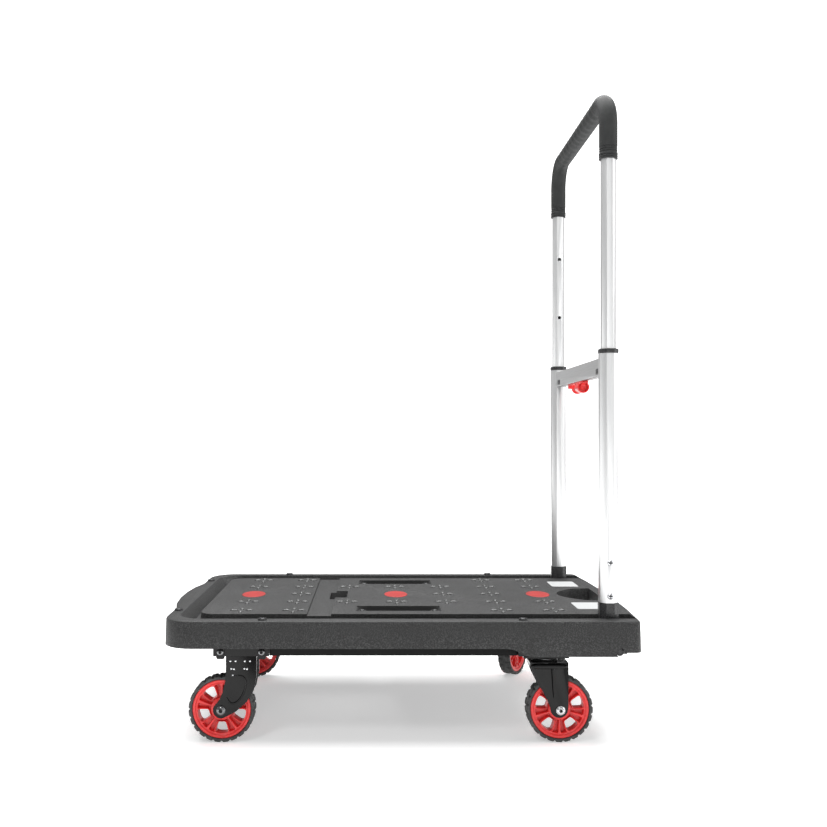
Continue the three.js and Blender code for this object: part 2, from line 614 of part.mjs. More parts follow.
for (const [name, s] of SIDES) {
  const [x, y] = [REAR_SWIVEL_X, s * CASTER_Y];
  const bolt = post(KINGPIN_R + GAP, [0, TOP], x, y);
  const plate = box(mid(x, 70), mid(y, BRACKET.width), [PLATE_Z - FORK_STEEL, PLATE_Z]);
  const ring = post(RACE_R, [PLATE_Z - 2 * FORK_STEEL, PLATE_Z - FORK_STEEL], x, y, FACETS);
  piece("swivel_plate_" + name, BLACK_STEEL, joined(plate, ring).subtract(bolt));
  const shoulder = PLATE_Z - CROWN_DROP - GAP;
  const head = post(KINGPIN_R + 3, [shoulder - 4, shoulder], x, y);
  piece("kingpin_" + name, BRIGHT_STEEL,
    joined(head, post(KINGPIN_R, [shoulder - 1, PLATE_Z + BRACKET.wall], x, y)));

  const turn = new THREE.Group();
  turn.position.set(x, y, 0);
  turn.rotation.z = s > 0 ? THREE.MathUtils.degToRad(RIGHT_CASTER_TURN) : 0;
  cart.add(turn);
  const group = new THREE.Group();
  group.position.set(TRAIL, 0, AXLE_Z);
  turn.add(group);
  piece("rear_fork_" + name, BLACK_STEEL, rearFork(), group);
  piece("rear_axle_" + name, BRIGHT_STEEL, axle(), group);
  wheel("rear_" + name, turn, TRAIL, 0, Math.PI / WINDOWS);
}

// ---- fold pivot and lock ------------------------------------------------------------------------
for (const [name, s] of SIDES) {
  const [y0, y1] = [s * (CHEEK_IN - CHEEK.thickness + 2), s * (CHEEK_OUT + CHEEK.thickness - 2)];
  piece("pivot_pin_" + name, BRIGHT_STEEL, bar(PIVOT_PIN_R, [Math.min(y0, y1), Math.max(y0, y1)], ...PIVOT));
}
const ROD_HALF = HALF_W - LOCK_ROD.end_from_side;
piece("fold_lock_rod", BLACK_STEEL, bar(LOCK_ROD.r, [-ROD_HALF, ROD_HALF], ROD_X, ROD_Z));

// ---- lower handle -------------------------------------------------------------------------------
function foot(y) {
  const half = FOOT_ACROSS / 2;
  const [x, z] = PIVOT;
  const low = z - FOOT_BELOW_PIVOT;
  const shape = new THREE.Shape();
  shape.moveTo(HANDLE_X + half, low);
  shape.lineTo(HANDLE_X + half, z + PIVOT_BOSS_R);
  shape.lineTo(x, z + PIVOT_BOSS_R);
  shape.absarc(x, z, PIVOT_BOSS_R, Math.PI / 2, 1.5 * Math.PI, false);
  shape.lineTo(HANDLE_X - half, low);
  const arm = side(shape, mid(y, 0.8 * FOOT_ACROSS), 6);
  const socket = octagonPost(FOOT_ACROSS, [low, TUBE_Z0], HANDLE_X, y);
  const plug = octagonPost(TUBE_ACROSS - 2 * TUBE_WALL - 2 * GAP, [TUBE_Z0 - 1, TUBE_Z0 + PLUG], HANDLE_X, y);
  return joined(arm, socket, plug).subtract(bar(PIVOT_PIN_R + GAP, mid(y, 2 * FOOT_ACROSS), x, z));
}

// Bores for the two screws of a tube, from the outside in.
function screwHoles(s) {
  const y = s * HANDLE_Y;
  const run = s > 0 ? [y, y + TUBE_ACROSS] : [y - TUBE_ACROSS, y];
  return SCREW.above_tube_end.map((up) => bar(SCREW.shank[0] + GAP, run, HANDLE_X, TUBE_Z0 + up));
}

function tubeScrew(s, up) {
  const [face, [hr, hh], [sr, sl]] = [HANDLE_Y + TUBE_ACROSS / 2, SCREW.head, SCREW.shank];
  const made = turned([
    [0, face - sl], [sr, face - sl], [sr, face + GAP], [hr, face + GAP], [hr * 0.75, face + hh], [0, face + hh],
  ]);
  const placed = s > 0 ? made : made.rotate([0, 0, 180]);
  return placed.translate([HANDLE_X, 0, TUBE_Z0 + up]);
}

function crossBar() {
  const x = mid(HANDLE_X, BAR.across[0]);
  const outer = box(x, [-BAR_HALF, BAR_HALF], [BAR_BOTTOM, BAR_TOP]);
  const inner = box(
    [x[0] + BAR.wall, x[1] - BAR.wall],
    [-BAR_HALF - 1, BAR_HALF + 1],
    [BAR_BOTTOM - 1, BAR_TOP - BAR.wall],
  );
  const slots = SIDES.map(([, s]) => {
    const at = s * (BAR_HALF - BAR_SLOT.from_tube);
    const z = BAR_BOTTOM + BAR_SLOT.lift;
    return box([x[0] - 1, x[0] + BAR.wall + 1], mid(at, BAR_SLOT.length), [z, z + BAR_SLOT.height]);
  });
  return cut(outer, inner, ...slots);
}

const BAR_INSIDE = mid(HANDLE_X, BAR.across[0] - 2 * BAR.wall - 2 * GAP);

function barEnd(s) {
  const y = s > 0 ? [BAR_HALF - BAR_END, BAR_HALF] : [-BAR_HALF, -BAR_HALF + BAR_END];
  const block = box(BAR_INSIDE, y, [BAR_BOTTOM, BAR_TOP - BAR.wall - GAP]);
  return block.subtract(bar(PIN_R + GAP, [y[0] - 1, y[1] + 1], HANDLE_X, PIN_Z));
}

// The tip of each pin stands in the lower tube's wall, just short of the upper tube.
function lockPin(s) {
  const tip = HANDLE_Y - TUBE_ACROSS / 2 + TUBE_WALL - GAP;
  const run = s > 0 ? [tip - PIN_LENGTH, tip] : [-tip, -tip + PIN_LENGTH];
  return bar(PIN_R, run, HANDLE_X, PIN_Z);
}

function releaseGrip() {
  const top = BAR_BOTTOM - GAP;
  const saddle = box(mid(HANDLE_X, SADDLE.width), [-SADDLE.half, SADDLE.half], [top - SADDLE.thickness, top]);
  const [r, w] = ROLLER.flange;
  const [half, z] = [ROLLER.half, top - ROLLER.flange[0]];
  const roller = turned([
    [ROLLER.bore, -half], [r, -half], [r, -half + w], [ROLLER.r, -half + w], [ROLLER.r, half - w],
    [r, half - w], [r, half], [ROLLER.bore, half], [ROLLER.bore, -half],
  ], 20).translate([HANDLE_X, 0, z]);
  const neck = box(mid(HANDLE_X, NECK.width), [-NECK.half, NECK.half], [top - 1, top + NECK.height]);
  return joined(saddle, roller, neck);
}

function barInsert() {
  const z = [BAR_BOTTOM, BAR_BOTTOM + 2 * BAR.wall];
  const half = BAR_HALF - BAR_END - GAP;
  const slot = box(mid(HANDLE_X, NECK.width + 2 * GAP), mid(0, 2 * NECK.half + 2 * GAP), [z[0] - 1, z[1] + 1]);
  return box(BAR_INSIDE, [-half, half], z).subtract(slot);
}

for (const [name, s] of SIDES) {
  const y = s * HANDLE_Y;
  const pinHole = bar(PIN_R + GAP, s > 0 ? [y - TUBE_ACROSS, y] : [y, y + TUBE_ACROSS], HANDLE_X, PIN_Z);
  const outer = octagonPost(TUBE_ACROSS, [TUBE_Z0, TUBE_Z1], HANDLE_X, y);
  const inner = octagonPost(TUBE_ACROSS - 2 * TUBE_WALL, [TUBE_Z0 - 1, TUBE_Z1 + 1], HANDLE_X, y);
  piece("foot_" + name, BLACK_PLASTIC, cut(foot(y), ...screwHoles(s)));
  piece("lower_tube_" + name, ALUMINIUM, cut(outer, inner, pinHole, ...screwHoles(s)));
  piece("collar_" + name, BLACK_PLASTIC, cut(
    octagonPost(FOOT_ACROSS, [TUBE_Z1, TUBE_Z1 + COLLAR], HANDLE_X, y),
    octagonPost(UPPER_ACROSS + 2 * GAP, [TUBE_Z1 - 1, TUBE_Z1 + COLLAR + 1], HANDLE_X, y),
  ));
  piece("bar_end_" + name, BLACK_PLASTIC, barEnd(s));
  piece("lock_pin_" + name, BRIGHT_STEEL, lockPin(s));
  SCREW.above_tube_end.forEach((up, k) => {
    piece("tube_screw_" + name + "_" + (k + 1), BRIGHT_STEEL, tubeScrew(s, up));
  });
}
piece("cross_bar", ALUMINIUM, crossBar());
piece("bar_insert", BLACK_PLASTIC, barInsert());
piece("release_grip", RED_PLASTIC, releaseGrip());

// ---- upper handle -------------------------------------------------------------------------------
const upperHoles = SIDES.flatMap(([, s]) => [0, 1, 2].map((k) => bar(
  PIN_R + GAP,
  s > 0 ? [HANDLE_Y - UPPER_ACROSS, HANDLE_Y] : [-HANDLE_Y, -HANDLE_Y + UPPER_ACROSS],
  HANDLE_X,
  PIN_Z + k * HOLE_PITCH,
)));
const upperTube = alongHandle(octagon(UPPER_ACROSS), octagon(UPPER_ACROSS - 2 * UPPER_WALL), UPPER_Z0);
piece("upper_tube", ALUMINIUM, cut(upperTube, ...upperHoles));

const gripSection = new THREE.Shape(new THREE.EllipseCurve(0, 0, GRIP_R, GRIP_R).getPoints(ROUND));
const gripBore = octagon(UPPER_ACROSS + 2 * GAP);
piece("grip", GRIP_RUBBER, alongHandle(gripSection, gripBore, BEND_Z + BEND_R - GRIP_LEG));

for (const [name, s] of SIDES) {
  const y = s * HANDLE_Y;
  const shoe = octagonPost(TUBE_ACROSS - 2 * TUBE_WALL - 2 * GAP, [UPPER_Z0 - GLIDE, UPPER_Z0 - GAP], HANDLE_X, y);
  const spigot = octagonPost(UPPER_ACROSS - 2 * UPPER_WALL - 2 * GAP, [UPPER_Z0 - 1, UPPER_Z0 + GLIDE], HANDLE_X, y);
  piece("glide_" + name, BLACK_PLASTIC, joined(shoe, spigot));
}

export default cart;
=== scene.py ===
import json
import math

import bmesh
import bpy
import numpy as np
from mathutils import Matrix, Vector


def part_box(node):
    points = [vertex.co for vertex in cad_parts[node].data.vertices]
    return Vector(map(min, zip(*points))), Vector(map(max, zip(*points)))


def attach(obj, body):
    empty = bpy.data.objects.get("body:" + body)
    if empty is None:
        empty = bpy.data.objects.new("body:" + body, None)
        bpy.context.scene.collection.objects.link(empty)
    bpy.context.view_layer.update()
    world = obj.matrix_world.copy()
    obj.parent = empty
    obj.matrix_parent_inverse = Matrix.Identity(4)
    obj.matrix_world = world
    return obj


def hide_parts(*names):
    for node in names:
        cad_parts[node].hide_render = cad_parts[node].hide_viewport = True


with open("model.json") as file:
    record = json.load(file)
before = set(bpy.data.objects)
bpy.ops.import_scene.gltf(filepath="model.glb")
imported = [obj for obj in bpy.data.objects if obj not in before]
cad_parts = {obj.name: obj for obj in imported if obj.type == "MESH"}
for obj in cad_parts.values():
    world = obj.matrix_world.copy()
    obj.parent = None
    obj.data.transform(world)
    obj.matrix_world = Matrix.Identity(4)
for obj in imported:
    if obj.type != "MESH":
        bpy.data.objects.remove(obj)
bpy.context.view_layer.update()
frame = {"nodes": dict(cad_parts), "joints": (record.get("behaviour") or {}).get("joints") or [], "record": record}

MM = 0.001
TURN = 2 * math.pi
SIDES = {"left": -1, "right": 1}

RECORD = frame["record"]
BODY_OF = {node: body for body, nodes in RECORD["behaviour"]["bodies"].items() for node in nodes}
SLOT_OF = {part["node"]: part["material_slot"] for part in RECORD["subparts"]}
JOINTS = {joint["name"]: joint for joint in frame["joints"]}


# ---- shader maths -----------------------------------------------------------------------------
class Wire:
    """A shader socket. An expression on wires and numbers adds its Math nodes."""

    def __init__(self, finish, socket):
        self.finish = finish
        self.socket = socket

    def maths(self, operation, *values):
        return self.finish.node("Math", {"operation": operation}, dict(enumerate(values)))

    def __add__(self, other):
        return self.maths("ADD", self, other)

    def __radd__(self, other):
        return self.maths("ADD", other, self)

    def __sub__(self, other):
        return self.maths("SUBTRACT", self, other)

    def __rsub__(self, other):
        return self.maths("SUBTRACT", other, self)

    def __mul__(self, other):
        return self.maths("MULTIPLY", self, other)

    def __rmul__(self, other):
        return self.maths("MULTIPLY", other, self)


class Finish:
    """One material and the nodes that make it up."""

    def __init__(self, name):
        self.material = bpy.data.materials.new(name)
        self.material.use_nodes = True
        self.tree = self.material.node_tree
        self.shader = self.tree.nodes["Principled BSDF"]

    def plug(self, socket, value):
        """Links a wire to a socket, or sets the socket's own number or colour."""
        if isinstance(value, Wire):
            self.tree.links.new(value.socket, socket)
        elif socket.type == "RGBA":
            socket.default_value = (*value, 1)
        else:
            socket.default_value = value

    def node(self, kind, settings=None, values=None, output=0):
        """Adds a node: its settings first, then the values or links of its sockets."""
        node = self.tree.nodes.new("ShaderNode" + kind)
        for key, value in (settings or {}).items():
            setattr(node, key, value)
        for key, value in (values or {}).items():
            self.plug(node.inputs[key], value)
        return Wire(self, node.outputs[output])

    def places(self, stretch=(1, 1, 1)):
        """Object coordinates, stretched."""
        where = self.node("TexCoord", output="Object")
        return self.node("Mapping", values={"Vector": where, "Scale": stretch})

    def noise(self, scale, detail=2, stretch=(1, 1, 1)):
        """Even noise, 0 to 1, with features about 1/scale metres wide."""
        values = {"Vector": self.places(stretch), "Scale": scale, "Detail": detail}
        return self.node("TexNoise", values=values)

    def cells(self, scale):
        """The distance to the nearest point of a scatter, about 1/scale metres apart."""
        return self.node("TexVoronoi", values={"Vector": self.places(), "Scale": scale})

    def step(self, value, low, high):
        """0 below low and 1 above high, smooth between."""
        settings = {"interpolation_type": "SMOOTHSTEP", "clamp": True}
        return self.node("MapRange", settings, {"Value": value, "From Min": low, "From Max": high})

    def mix(self, share, first, second):
        """A colour that turns from first to second as share goes from 0 to 1."""
        return self.node("Mix", {"data_type": "RGBA"}, {0: share, 6: first, 7: second}, 2)

    def set(self, **sockets):
        """Sets or links the shader's own sockets; an underscore stands for a space."""
        for key, value in sockets.items():
            self.plug(self.shader.inputs[key.replace("_", " ")], value)
        return self.material

    def relief(self, height, depth):
        """A bump of that depth in metres, where height runs from 0 to 1."""
        self.set(Normal=self.node("Bump", values={"Height": height, "Distance": depth, "Strength": 1.0}))


# ---- finishes ---------------------------------------------------------------------------------
def toned(colour, share):
    """A colour with its three numbers multiplied by a share."""
    return tuple(share * c for c in colour)


def moulded_plastic(name, colour, lift, roughness, grain, depth, shine=0.5):
    """Moulded plastic with a pebbled grain: pale specks of a second colour, and darker clouds."""
    made = Finish(name)
    pebble = made.cells(grain)
    cloud = made.noise(9, 3)
    speck = made.noise(grain * 0.8, 2)
    pale = made.mix(made.step(speck, 0.44, 0.68), colour, lift)
    tone = made.mix(made.step(cloud, 0.25, 0.8) * 0.35, pale, toned(colour, 0.72))
    made.relief(1 - made.step(pebble, 0.05, 0.75), depth)
    made.set(Specular_IOR_Level=shine)
    return made.set(Base_Color=tone, Roughness=roughness + (speck - 0.5) * 0.22 + (cloud - 0.5) * 0.1)


def red_plastic(name, roughness):
    """Glossy red nylon with faint flow marks and a few dull rubs."""
    made = Finish(name)
    flow = made.noise(70, 3, (1, 1, 2.5))
    rub = made.noise(420, 2)
    colour = made.mix(made.step(flow, 0.3, 0.75), (0.76, 0.036, 0.034), (0.62, 0.022, 0.023))
    made.relief(rub, 0.00003)
    return made.set(Base_Color=colour, Roughness=roughness + flow * 0.12 + made.step(rub, 0.6, 0.8) * 0.12)


def satin_red():
    """The badges: smooth red with a slightly paler, finely grained face."""
    made = Finish("satin red plate")
    grain = made.noise(1500, 2)
    cloud = made.noise(60, 2)
    made.relief(grain, 0.00002)
    colour = made.mix(made.step(cloud, 0.3, 0.7), (0.28, 0.012, 0.010), (0.35, 0.018, 0.016))
    made.set(Specular_IOR_Level=0.35)
    return made.set(Base_Color=colour, Roughness=0.42 + grain * 0.1)


def satin_aluminium():
    """Anodised tube: long fine draw lines, and small changes of gloss along them."""
    made = Finish("satin anodised aluminium")
    line = made.noise(1800, 2, (1, 1, 0.012))
    cloud = made.noise(25, 2)
    colour = made.mix(made.step(line, 0.3, 0.7), (0.76, 0.765, 0.765), (0.70, 0.705, 0.71))
    made.relief(line, 0.00001)
    gloss = 0.34 + (line - 0.5) * 0.12 + (cloud - 0.5) * 0.06
    return made.set(Base_Color=colour, Metallic=0.85, Roughness=gloss)


def shaded_bar_aluminium():
    """The cross bar: the same metal, drawn along Y and a little duller, with its colour darkened as painted shade.
    """
    made = Finish("drawn aluminium bar, painted shade")
    line = made.noise(1500, 2, (1, 0.012, 1))
    colour = made.mix(made.step(line, 0.3, 0.7), (0.56, 0.562, 0.565), (0.50, 0.502, 0.505))
    made.relief(line, 0.00001)
    return made.set(Base_Color=colour, Metallic=0.85, Roughness=0.42 + (line - 0.5) * 0.12)


def powder_coat(name, share=0.3, roughness=0.2, shine=0.24):
    """Black powder coat: orange peel, fine grit and pale clouds; share scales how pale it is."""
    made = Finish(name)
    peel = made.noise(650, 2)
    grit = made.cells(1100)
    cloud = made.noise(35, 3)
    dark, pale = toned((0.010, 0.010, 0.010), share), toned((0.018, 0.018, 0.018), share)
    colour = made.mix(made.step(cloud, 0.35, 0.8), dark, pale)
    made.relief(peel * 0.7 + (1 - made.step(grit, 0.0, 0.45)) * 0.3, 0.00004)
    made.set(Specular_IOR_Level=shine)
    return made.set(Base_Color=colour, Roughness=roughness + (peel - 0.5) * 0.2 + (cloud - 0.5) * 0.15)


def plated_steel(name, share=1.0, roughness=0.2):
    """Plated steel: soft mottling and fine marks; share scales how bright it is."""
    made = Finish(name)
    mottle = made.noise(300, 3)
    mark = made.noise(1600, 2)
    bright, dull = toned((0.72, 0.73, 0.74), share), toned((0.60, 0.61, 0.63), share)
    colour = made.mix(made.step(mottle, 0.3, 0.7), bright, dull)
    made.relief(mark, 0.00001)
    return made.set(Base_Color=colour, Metallic=1.0, Roughness=roughness + mottle * 0.14)


def tyre_rubber():
    """Grey-black rubber, with paler dusty clouds."""
    made = Finish("moulded tyre rubber")
    grain = made.noise(1300, 3)
    dust = made.noise(60, 4)
    colour = made.mix(made.step(dust, 0.35, 0.7), (0.030, 0.031, 0.031), (0.056, 0.057, 0.056))
    made.relief(grain, 0.00012)
    return made.set(Base_Color=colour, Roughness=0.62 + (grain - 0.5) * 0.2)


def grip_rubber():
    """A softer, finely stippled rubber for the sleeve."""
    made = Finish("stippled grip rubber")
    stipple = made.cells(1400)
    cloud = made.noise(30, 3)
    colour = made.mix(made.step(cloud, 0.3, 0.75), (0.024, 0.025, 0.025), (0.034, 0.035, 0.035))
    made.set(Specular_IOR_Level=0.16)
    made.relief(1 - made.step(stipple, 0.1, 0.7), 0.00008)
    return made.set(Base_Color=colour, Roughness=0.56 + (cloud - 0.5) * 0.12)


def label_paper():
    """Blank white paper labels: faint fibre, a little sheen."""
    made = Finish("blank white label")
    fibre = made.noise(900, 4)
    colour = made.mix(made.step(fibre, 0.3, 0.8), (0.42, 0.43, 0.43), (0.36, 0.37, 0.37))
    made.relief(fibre, 0.00002)
    return made.set(Base_Color=colour, Roughness=0.45 + fibre * 0.15)


FINISHES = {
    "deck": moulded_plastic(
        "charcoal deck plastic", (0.012, 0.012, 0.012), (0.054, 0.055, 0.055), 0.5, 820, 0.00030, 0.34
    ),
    "red_plastic": red_plastic("red moulded plastic", 0.3),
    "badge_red": satin_red(),
    "black_plastic": moulded_plastic(
        "black fitting plastic", (0.014, 0.014, 0.015), (0.034, 0.034, 0.035), 0.28, 1400, 0.00005
    ),
    "aluminium": satin_aluminium(),
    "black_steel": powder_coat("black powder coat"),
    "bright_steel": plated_steel("bright zinc plate"),
    "tyre": tyre_rubber(),
    "grip_rubber": grip_rubber(),
}
# the cross bar's darker copy of the tube metal is painted shade
SHADED_BAR_METAL = shaded_bar_aluminium()
# the petals' paler colour is partly wear and partly painted sheen of their lit tops
WORN_SHEEN_TREAD = moulded_plastic(
    "worn tread plastic with painted sheen", (0.040, 0.041, 0.041), (0.12, 0.122, 0.122), 0.24, 900, 0.00006
)
RAIL_COAT = powder_coat("shaded frame coat", 0.3, 0.4, 0.12)
# painted shade: a near-black finish for the discs in driver recesses and for the pocket trays
RECESS_SHADE = moulded_plastic("painted recess shade", (0.004, 0.004, 0.004), (0.009, 0.009, 0.009), 0.7, 1400, 0.00005)
POLISHED_RED = red_plastic("polished red plastic", 0.1)
DARK_PLATE = plated_steel("blackened plate", 0.3, 0.16)
DULL_PLATE = plated_steel("dulled plate", 0.09, 0.3)
LABEL = label_paper()


# ---- surfaces ---------------------------------------------------------------------------------
class Skin:
    """The points and quads of one piece, gathered grid by grid."""

    def __init__(self):
        self.points = []
        self.quads = []
        self.count = 0

    def grid(self, x, y, z, closed=False, keep=None):
        """Quads between neighbouring points, with the last row joined to the first;
        closed joins the last column to the first too, and keep marks the rows that get quads."""
        x, y, z = np.broadcast_arrays(x, y, z)
        n, m = x.shape
        rows = np.arange(n)
        if keep is not None:
            rows = rows[keep]
        i, j = np.meshgrid(rows, np.arange(m if closed else m - 1), indexing="ij")
        k, l = (i + 1) % n, (j + 1) % m
        quads = np.stack([i * m + j, k * m + j, k * m + l, i * m + l], -1).reshape(-1, 4)
        self.points.append(np.stack([x, y, z], -1).reshape(-1, 3))
        self.quads.append(quads + self.count)
        self.count += n * m
        return self

    def put(self, other, matrix=None):
        """Adds another skin, moved by a matrix."""
        points = np.concatenate(other.points)
        if matrix is not None:
            turn = np.array(matrix)
            points = points @ turn[:3, :3].T + turn[:3, 3]
        self.points.append(points)
        self.quads.append(np.concatenate(other.quads) + self.count)
        self.count += len(points)
        return self


def turned(steps):
    """The angles of a full turn in even steps, as a column."""
    return np.arange(steps)[:, None] * TURN / steps


def squared(angle, power):
    """How far the rounded square |x|^p + |y|^p = 1 lies from its middle, at each angle."""
    return (np.abs(np.cos(angle)) ** power + np.abs(np.sin(angle)) ** power) ** (-1 / power)


def mirrored(half):
    """A closed profile of [radius, height] from its upper half."""
    return np.array(half + [[radius, -height] for radius, height in reversed(half)]) * MM


def lathe(profile, steps=48, wave=None):
    """A profile of [radius, height] turned about Z: x = r cos a, y = r sin a, z = h. A profile that
    starts off the axis makes a ring. wave takes angles, radii and heights, and gives new radii
    and heights."""
    radius, height = np.array(profile, float).T
    angle, radius, height = np.broadcast_arrays(turned(steps), radius, height)
    if wave is not None:
        radius, height = wave(angle, radius, height)
    ring = bool(profile[0][0] > 0)
    return Skin().grid(radius * np.cos(angle), radius * np.sin(angle), height, closed=ring)


SEAM = 2e-6  # points of one piece nearer than this are joined
SLIVER = 1e-6  # edges shorter than this are taken out
SMOOTH_UNDER = 40  # degrees between two faces that are shaded as one


def finished(name, skin, finish, body, stands_for=(), sharp=SMOOTH_UNDER):
    """Makes the piece's mesh, closes its seams, turns its faces out and gives it its body and finish."""
    mesh = bpy.data.meshes.new(name)
    points, quads = np.concatenate(skin.points), np.concatenate(skin.quads)
    mesh.from_pydata(points.tolist(), [], quads.tolist())
    work = bmesh.new()
    work.from_mesh(mesh)
    bmesh.ops.remove_doubles(work, verts=work.verts, dist=SEAM)
    bmesh.ops.dissolve_degenerate(work, edges=work.edges, dist=SLIVER)
    bmesh.ops.recalc_face_normals(work, faces=work.faces)
    work.to_mesh(mesh)
    work.free()
    placed(name, mesh, finish, body, stands_for, sharp)


def placed(name, mesh, finish, body, stands_for, sharp):
    """An object at the origin with that mesh, smooth but for edges sharper than an angle in degrees,
    on its body and the nodes of the working model that it stands for."""
    piece = bpy.data.objects.new(name, mesh)
    bpy.context.scene.collection.objects.link(piece)
    mesh.materials.clear()
    mesh.materials.append(finish)
    mesh.shade_smooth()
    if sharp:
        mesh.set_sharp_from_angle(angle=math.radians(sharp))
    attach(piece, body)
    if stands_for:
        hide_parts(*stands_for)
    return piece


JOINED = 1e-5  # the working model's loose triangles are joined at points nearer than this
COPLANAR = math.radians(0.4)
ROUNDED_OVER = math.radians(35)  # edges sharper than this are rounded


def edged(node, width, finish=None, segments=2):
    """The working model's own shape with its edges rounded to a width in millimetres."""
    mesh = frame["nodes"][node].data.copy()
    work = bmesh.new()
    work.from_mesh(mesh)
    bmesh.ops.remove_doubles(work, verts=work.verts, dist=JOINED)
    bmesh.ops.dissolve_limit(work, angle_limit=COPLANAR, verts=work.verts, edges=work.edges)
    work.to_mesh(mesh)
    work.free()
    slot = SLOT_OF[node]
    piece = placed(node + "_edged", mesh, finish or FINISHES[slot], BODY_OF[node], [node], None)
    bevel = piece.modifiers.new("rounded edges", "BEVEL")
    bevel.width = width * MM
    bevel.segments = segments
    bevel.limit_method = "ANGLE"
    bevel.angle_limit = ROUNDED_OVER
    bevel.harden_normals = True
    bevel.use_clamp_overlap = True


def middle(node):
    """The middle of a node's box."""
    low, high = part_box(node)
    return (low + high) / 2


RECESS_FLOOR = 0.3  # of a head's height


def drive_edge(angle, drive):
    """The outline of a driver recess as a share of the head's radius: a cross of straight arms,
    a star 0.42 (1 + 0.2 cos 6t), a hexagon, or a plain circle for a head without a recess."""
    thin = np.maximum(np.minimum(np.abs(np.cos(angle)), np.abs(np.sin(angle))), 1e-6)
    wedge = np.mod(angle, TURN / 6) - TURN / 12
    return {
        "cross": np.minimum(0.64, 0.17 / thin),
        "star": 0.42 * (1 + 0.2 * np.cos(6 * angle)),
        "hex": 0.43 / np.cos(wedge),
        "none": 0.3 + 0 * angle,
    }[drive]


def head(radius, height, drive, steps=48):
    """A fastener's head on Z = 0: a low dome h (1 - 0.75 r^4) round a driver recess, closed underneath."""
    angle = turned(steps)
    edge = drive_edge(angle, drive)
    inner = edge * np.array([[0, 0.6, 1.0]])
    r = np.concatenate([inner, edge + (1 - edge) * np.array([[0, 0.35, 0.7, 0.9, 0.97, 1.0]])], 1)
    z = height * (1 - 0.75 * r**4)
    if drive != "none":
        z[:, :3] = height * RECESS_FLOOR
    under = np.array([[1.0, 0.5, 0.0]]) + 0 * angle
    r = np.concatenate([r, under], 1)
    z = np.concatenate([z, 0 * under], 1)
    return Skin().grid(radius * r * np.cos(angle), radius * r * np.sin(angle), z)


def recess(radius, height, drive):
    """A near-black disc of painted shade on the floor of a driver recess: the recess's outline shrunk to its
    middle, 0.1 mm thick.
    """
    angle = turned(48)
    edge = drive_edge(angle, drive) * np.array([[0, 1.0, 1.0, 0]])
    z = height * RECESS_FLOOR + np.array([[0.06, 0.06, -0.04, -0.04]]) * MM + 0 * angle
    return Skin().grid(radius * edge * np.cos(angle), radius * edge * np.sin(angle), z)


def fasteners(name, places, radius, height, drive, finish, body, more=None, stands_for=()):
    """A head at each place, with a near-black disc of painted shade in its recess, and any more that belongs to
    them.
    """
    heads, shade_discs = Skin(), Skin()
    if more is not None:
        heads.put(more)
    for place in places:
        heads.put(head(radius, height, drive), place)
        shade_discs.put(recess(radius, height, drive), place)
    finished(name, heads, finish, body, stands_for)
    finished(name + "_recess_shade", shade_discs, RECESS_SHADE, body)


def facing(place, direction):
    """The matrix that takes a head on Z = 0 to a place, facing a direction."""
    return Matrix.Translation(place) @ Vector(direction).to_track_quat("Z", "Y").to_matrix().to_4x4()


# ---- deck -------------------------------------------------------------------------------------
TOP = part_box("deck")[1].z
TREAD_PITCH = (83 * MM, 75 * MM)  # along the deck and across it
TREAD_COLUMNS = {  # the rows of flowers in each column, counted from the deck's middle
    -3: (-2, -1, 1, 2),
    -2: (-2, -1, 0, 1, 2),
    -1: (-1, 1),
    0: (-1, 1),
    1: (-1, 0, 1),
    2: (-2, -1, 0, 1, 2),
    3: (-2, -1, 1, 2),
}
PETAL_OUT = 12 * MM  # from a flower's middle to a petal's
PETAL_RISE, PETAL_SUNK = 2.6 * MM, 0.5 * MM


def tread():
    """Raised grip petals in fours: each a lens x = a sin s cos t, y = b sin s sin t, z = h cos s,
    sunk below its rim."""
    across = turned(14)
    down = np.linspace(0, math.pi, 9)[None, :]
    lift = np.where(down < math.pi / 2, PETAL_RISE, PETAL_SUNK) * np.cos(down)
    skin = Skin()
    for column, lines in TREAD_COLUMNS.items():
        for line in lines:
            for direction in range(4):
                along = direction % 2 == 0
                a, b = (3.4 * MM, 7.0 * MM) if along else (6.4 * MM, 3.2 * MM)
                reach = PETAL_OUT * (1 if direction < 2 else -1)
                x = column * TREAD_PITCH[0] + (0 if along else reach)
                y = line * TREAD_PITCH[1] + (reach if along else 0)
                petal_x = x + a * np.sin(down) * np.cos(across)
                petal_y = y + b * np.sin(down) * np.sin(across)
                skin.grid(petal_x, petal_y, TOP + lift)
    finished("tread_petals", skin, WORN_SHEEN_TREAD, "platform")


RIM_SCREWS = [(-207, 224), (188, 224), (-350, 147)]  # on one side of the deck, in millimetres


def rim_screws():
    """Low-headed screws round the deck's rim, each in a low round boss turned about Z."""
    places = [(x * MM, side * y * MM) for x, y in RIM_SCREWS for side in SIDES.values()]
    bosses = Skin()
    profile = [[0, -0.4], [6.8, -0.4], [6.6, 2.2], [6.0, 2.9], [5.2, 2.9], [4.8, 2.0], [0, 2.0]]
    boss = lathe(np.array(profile) * MM)
    for x, y in places:
        bosses.put(boss, Matrix.Translation((x, y, TOP)))
    finished("rim_screw_bosses", bosses, FINISHES["black_plastic"], "platform")
    seats = [Matrix.Translation((x, y, TOP + 1.9 * MM)) for x, y in places]
    fasteners("rim_screws", seats, 4.4 * MM, 1.8 * MM, "cross", DULL_PLATE, "platform")


POCKET_X = (-66 * MM, 69 * MM)
POCKET_Y = (110 * MM, 153 * MM)
POCKET_DEPTH = 9 * MM
POCKET_GAP = 0.4 * MM  # between a tray and its pocket's wall
POST_IN = 9 * MM  # from a pocket's end to its screw post
POST_HEIGHT = 4.6 * MM


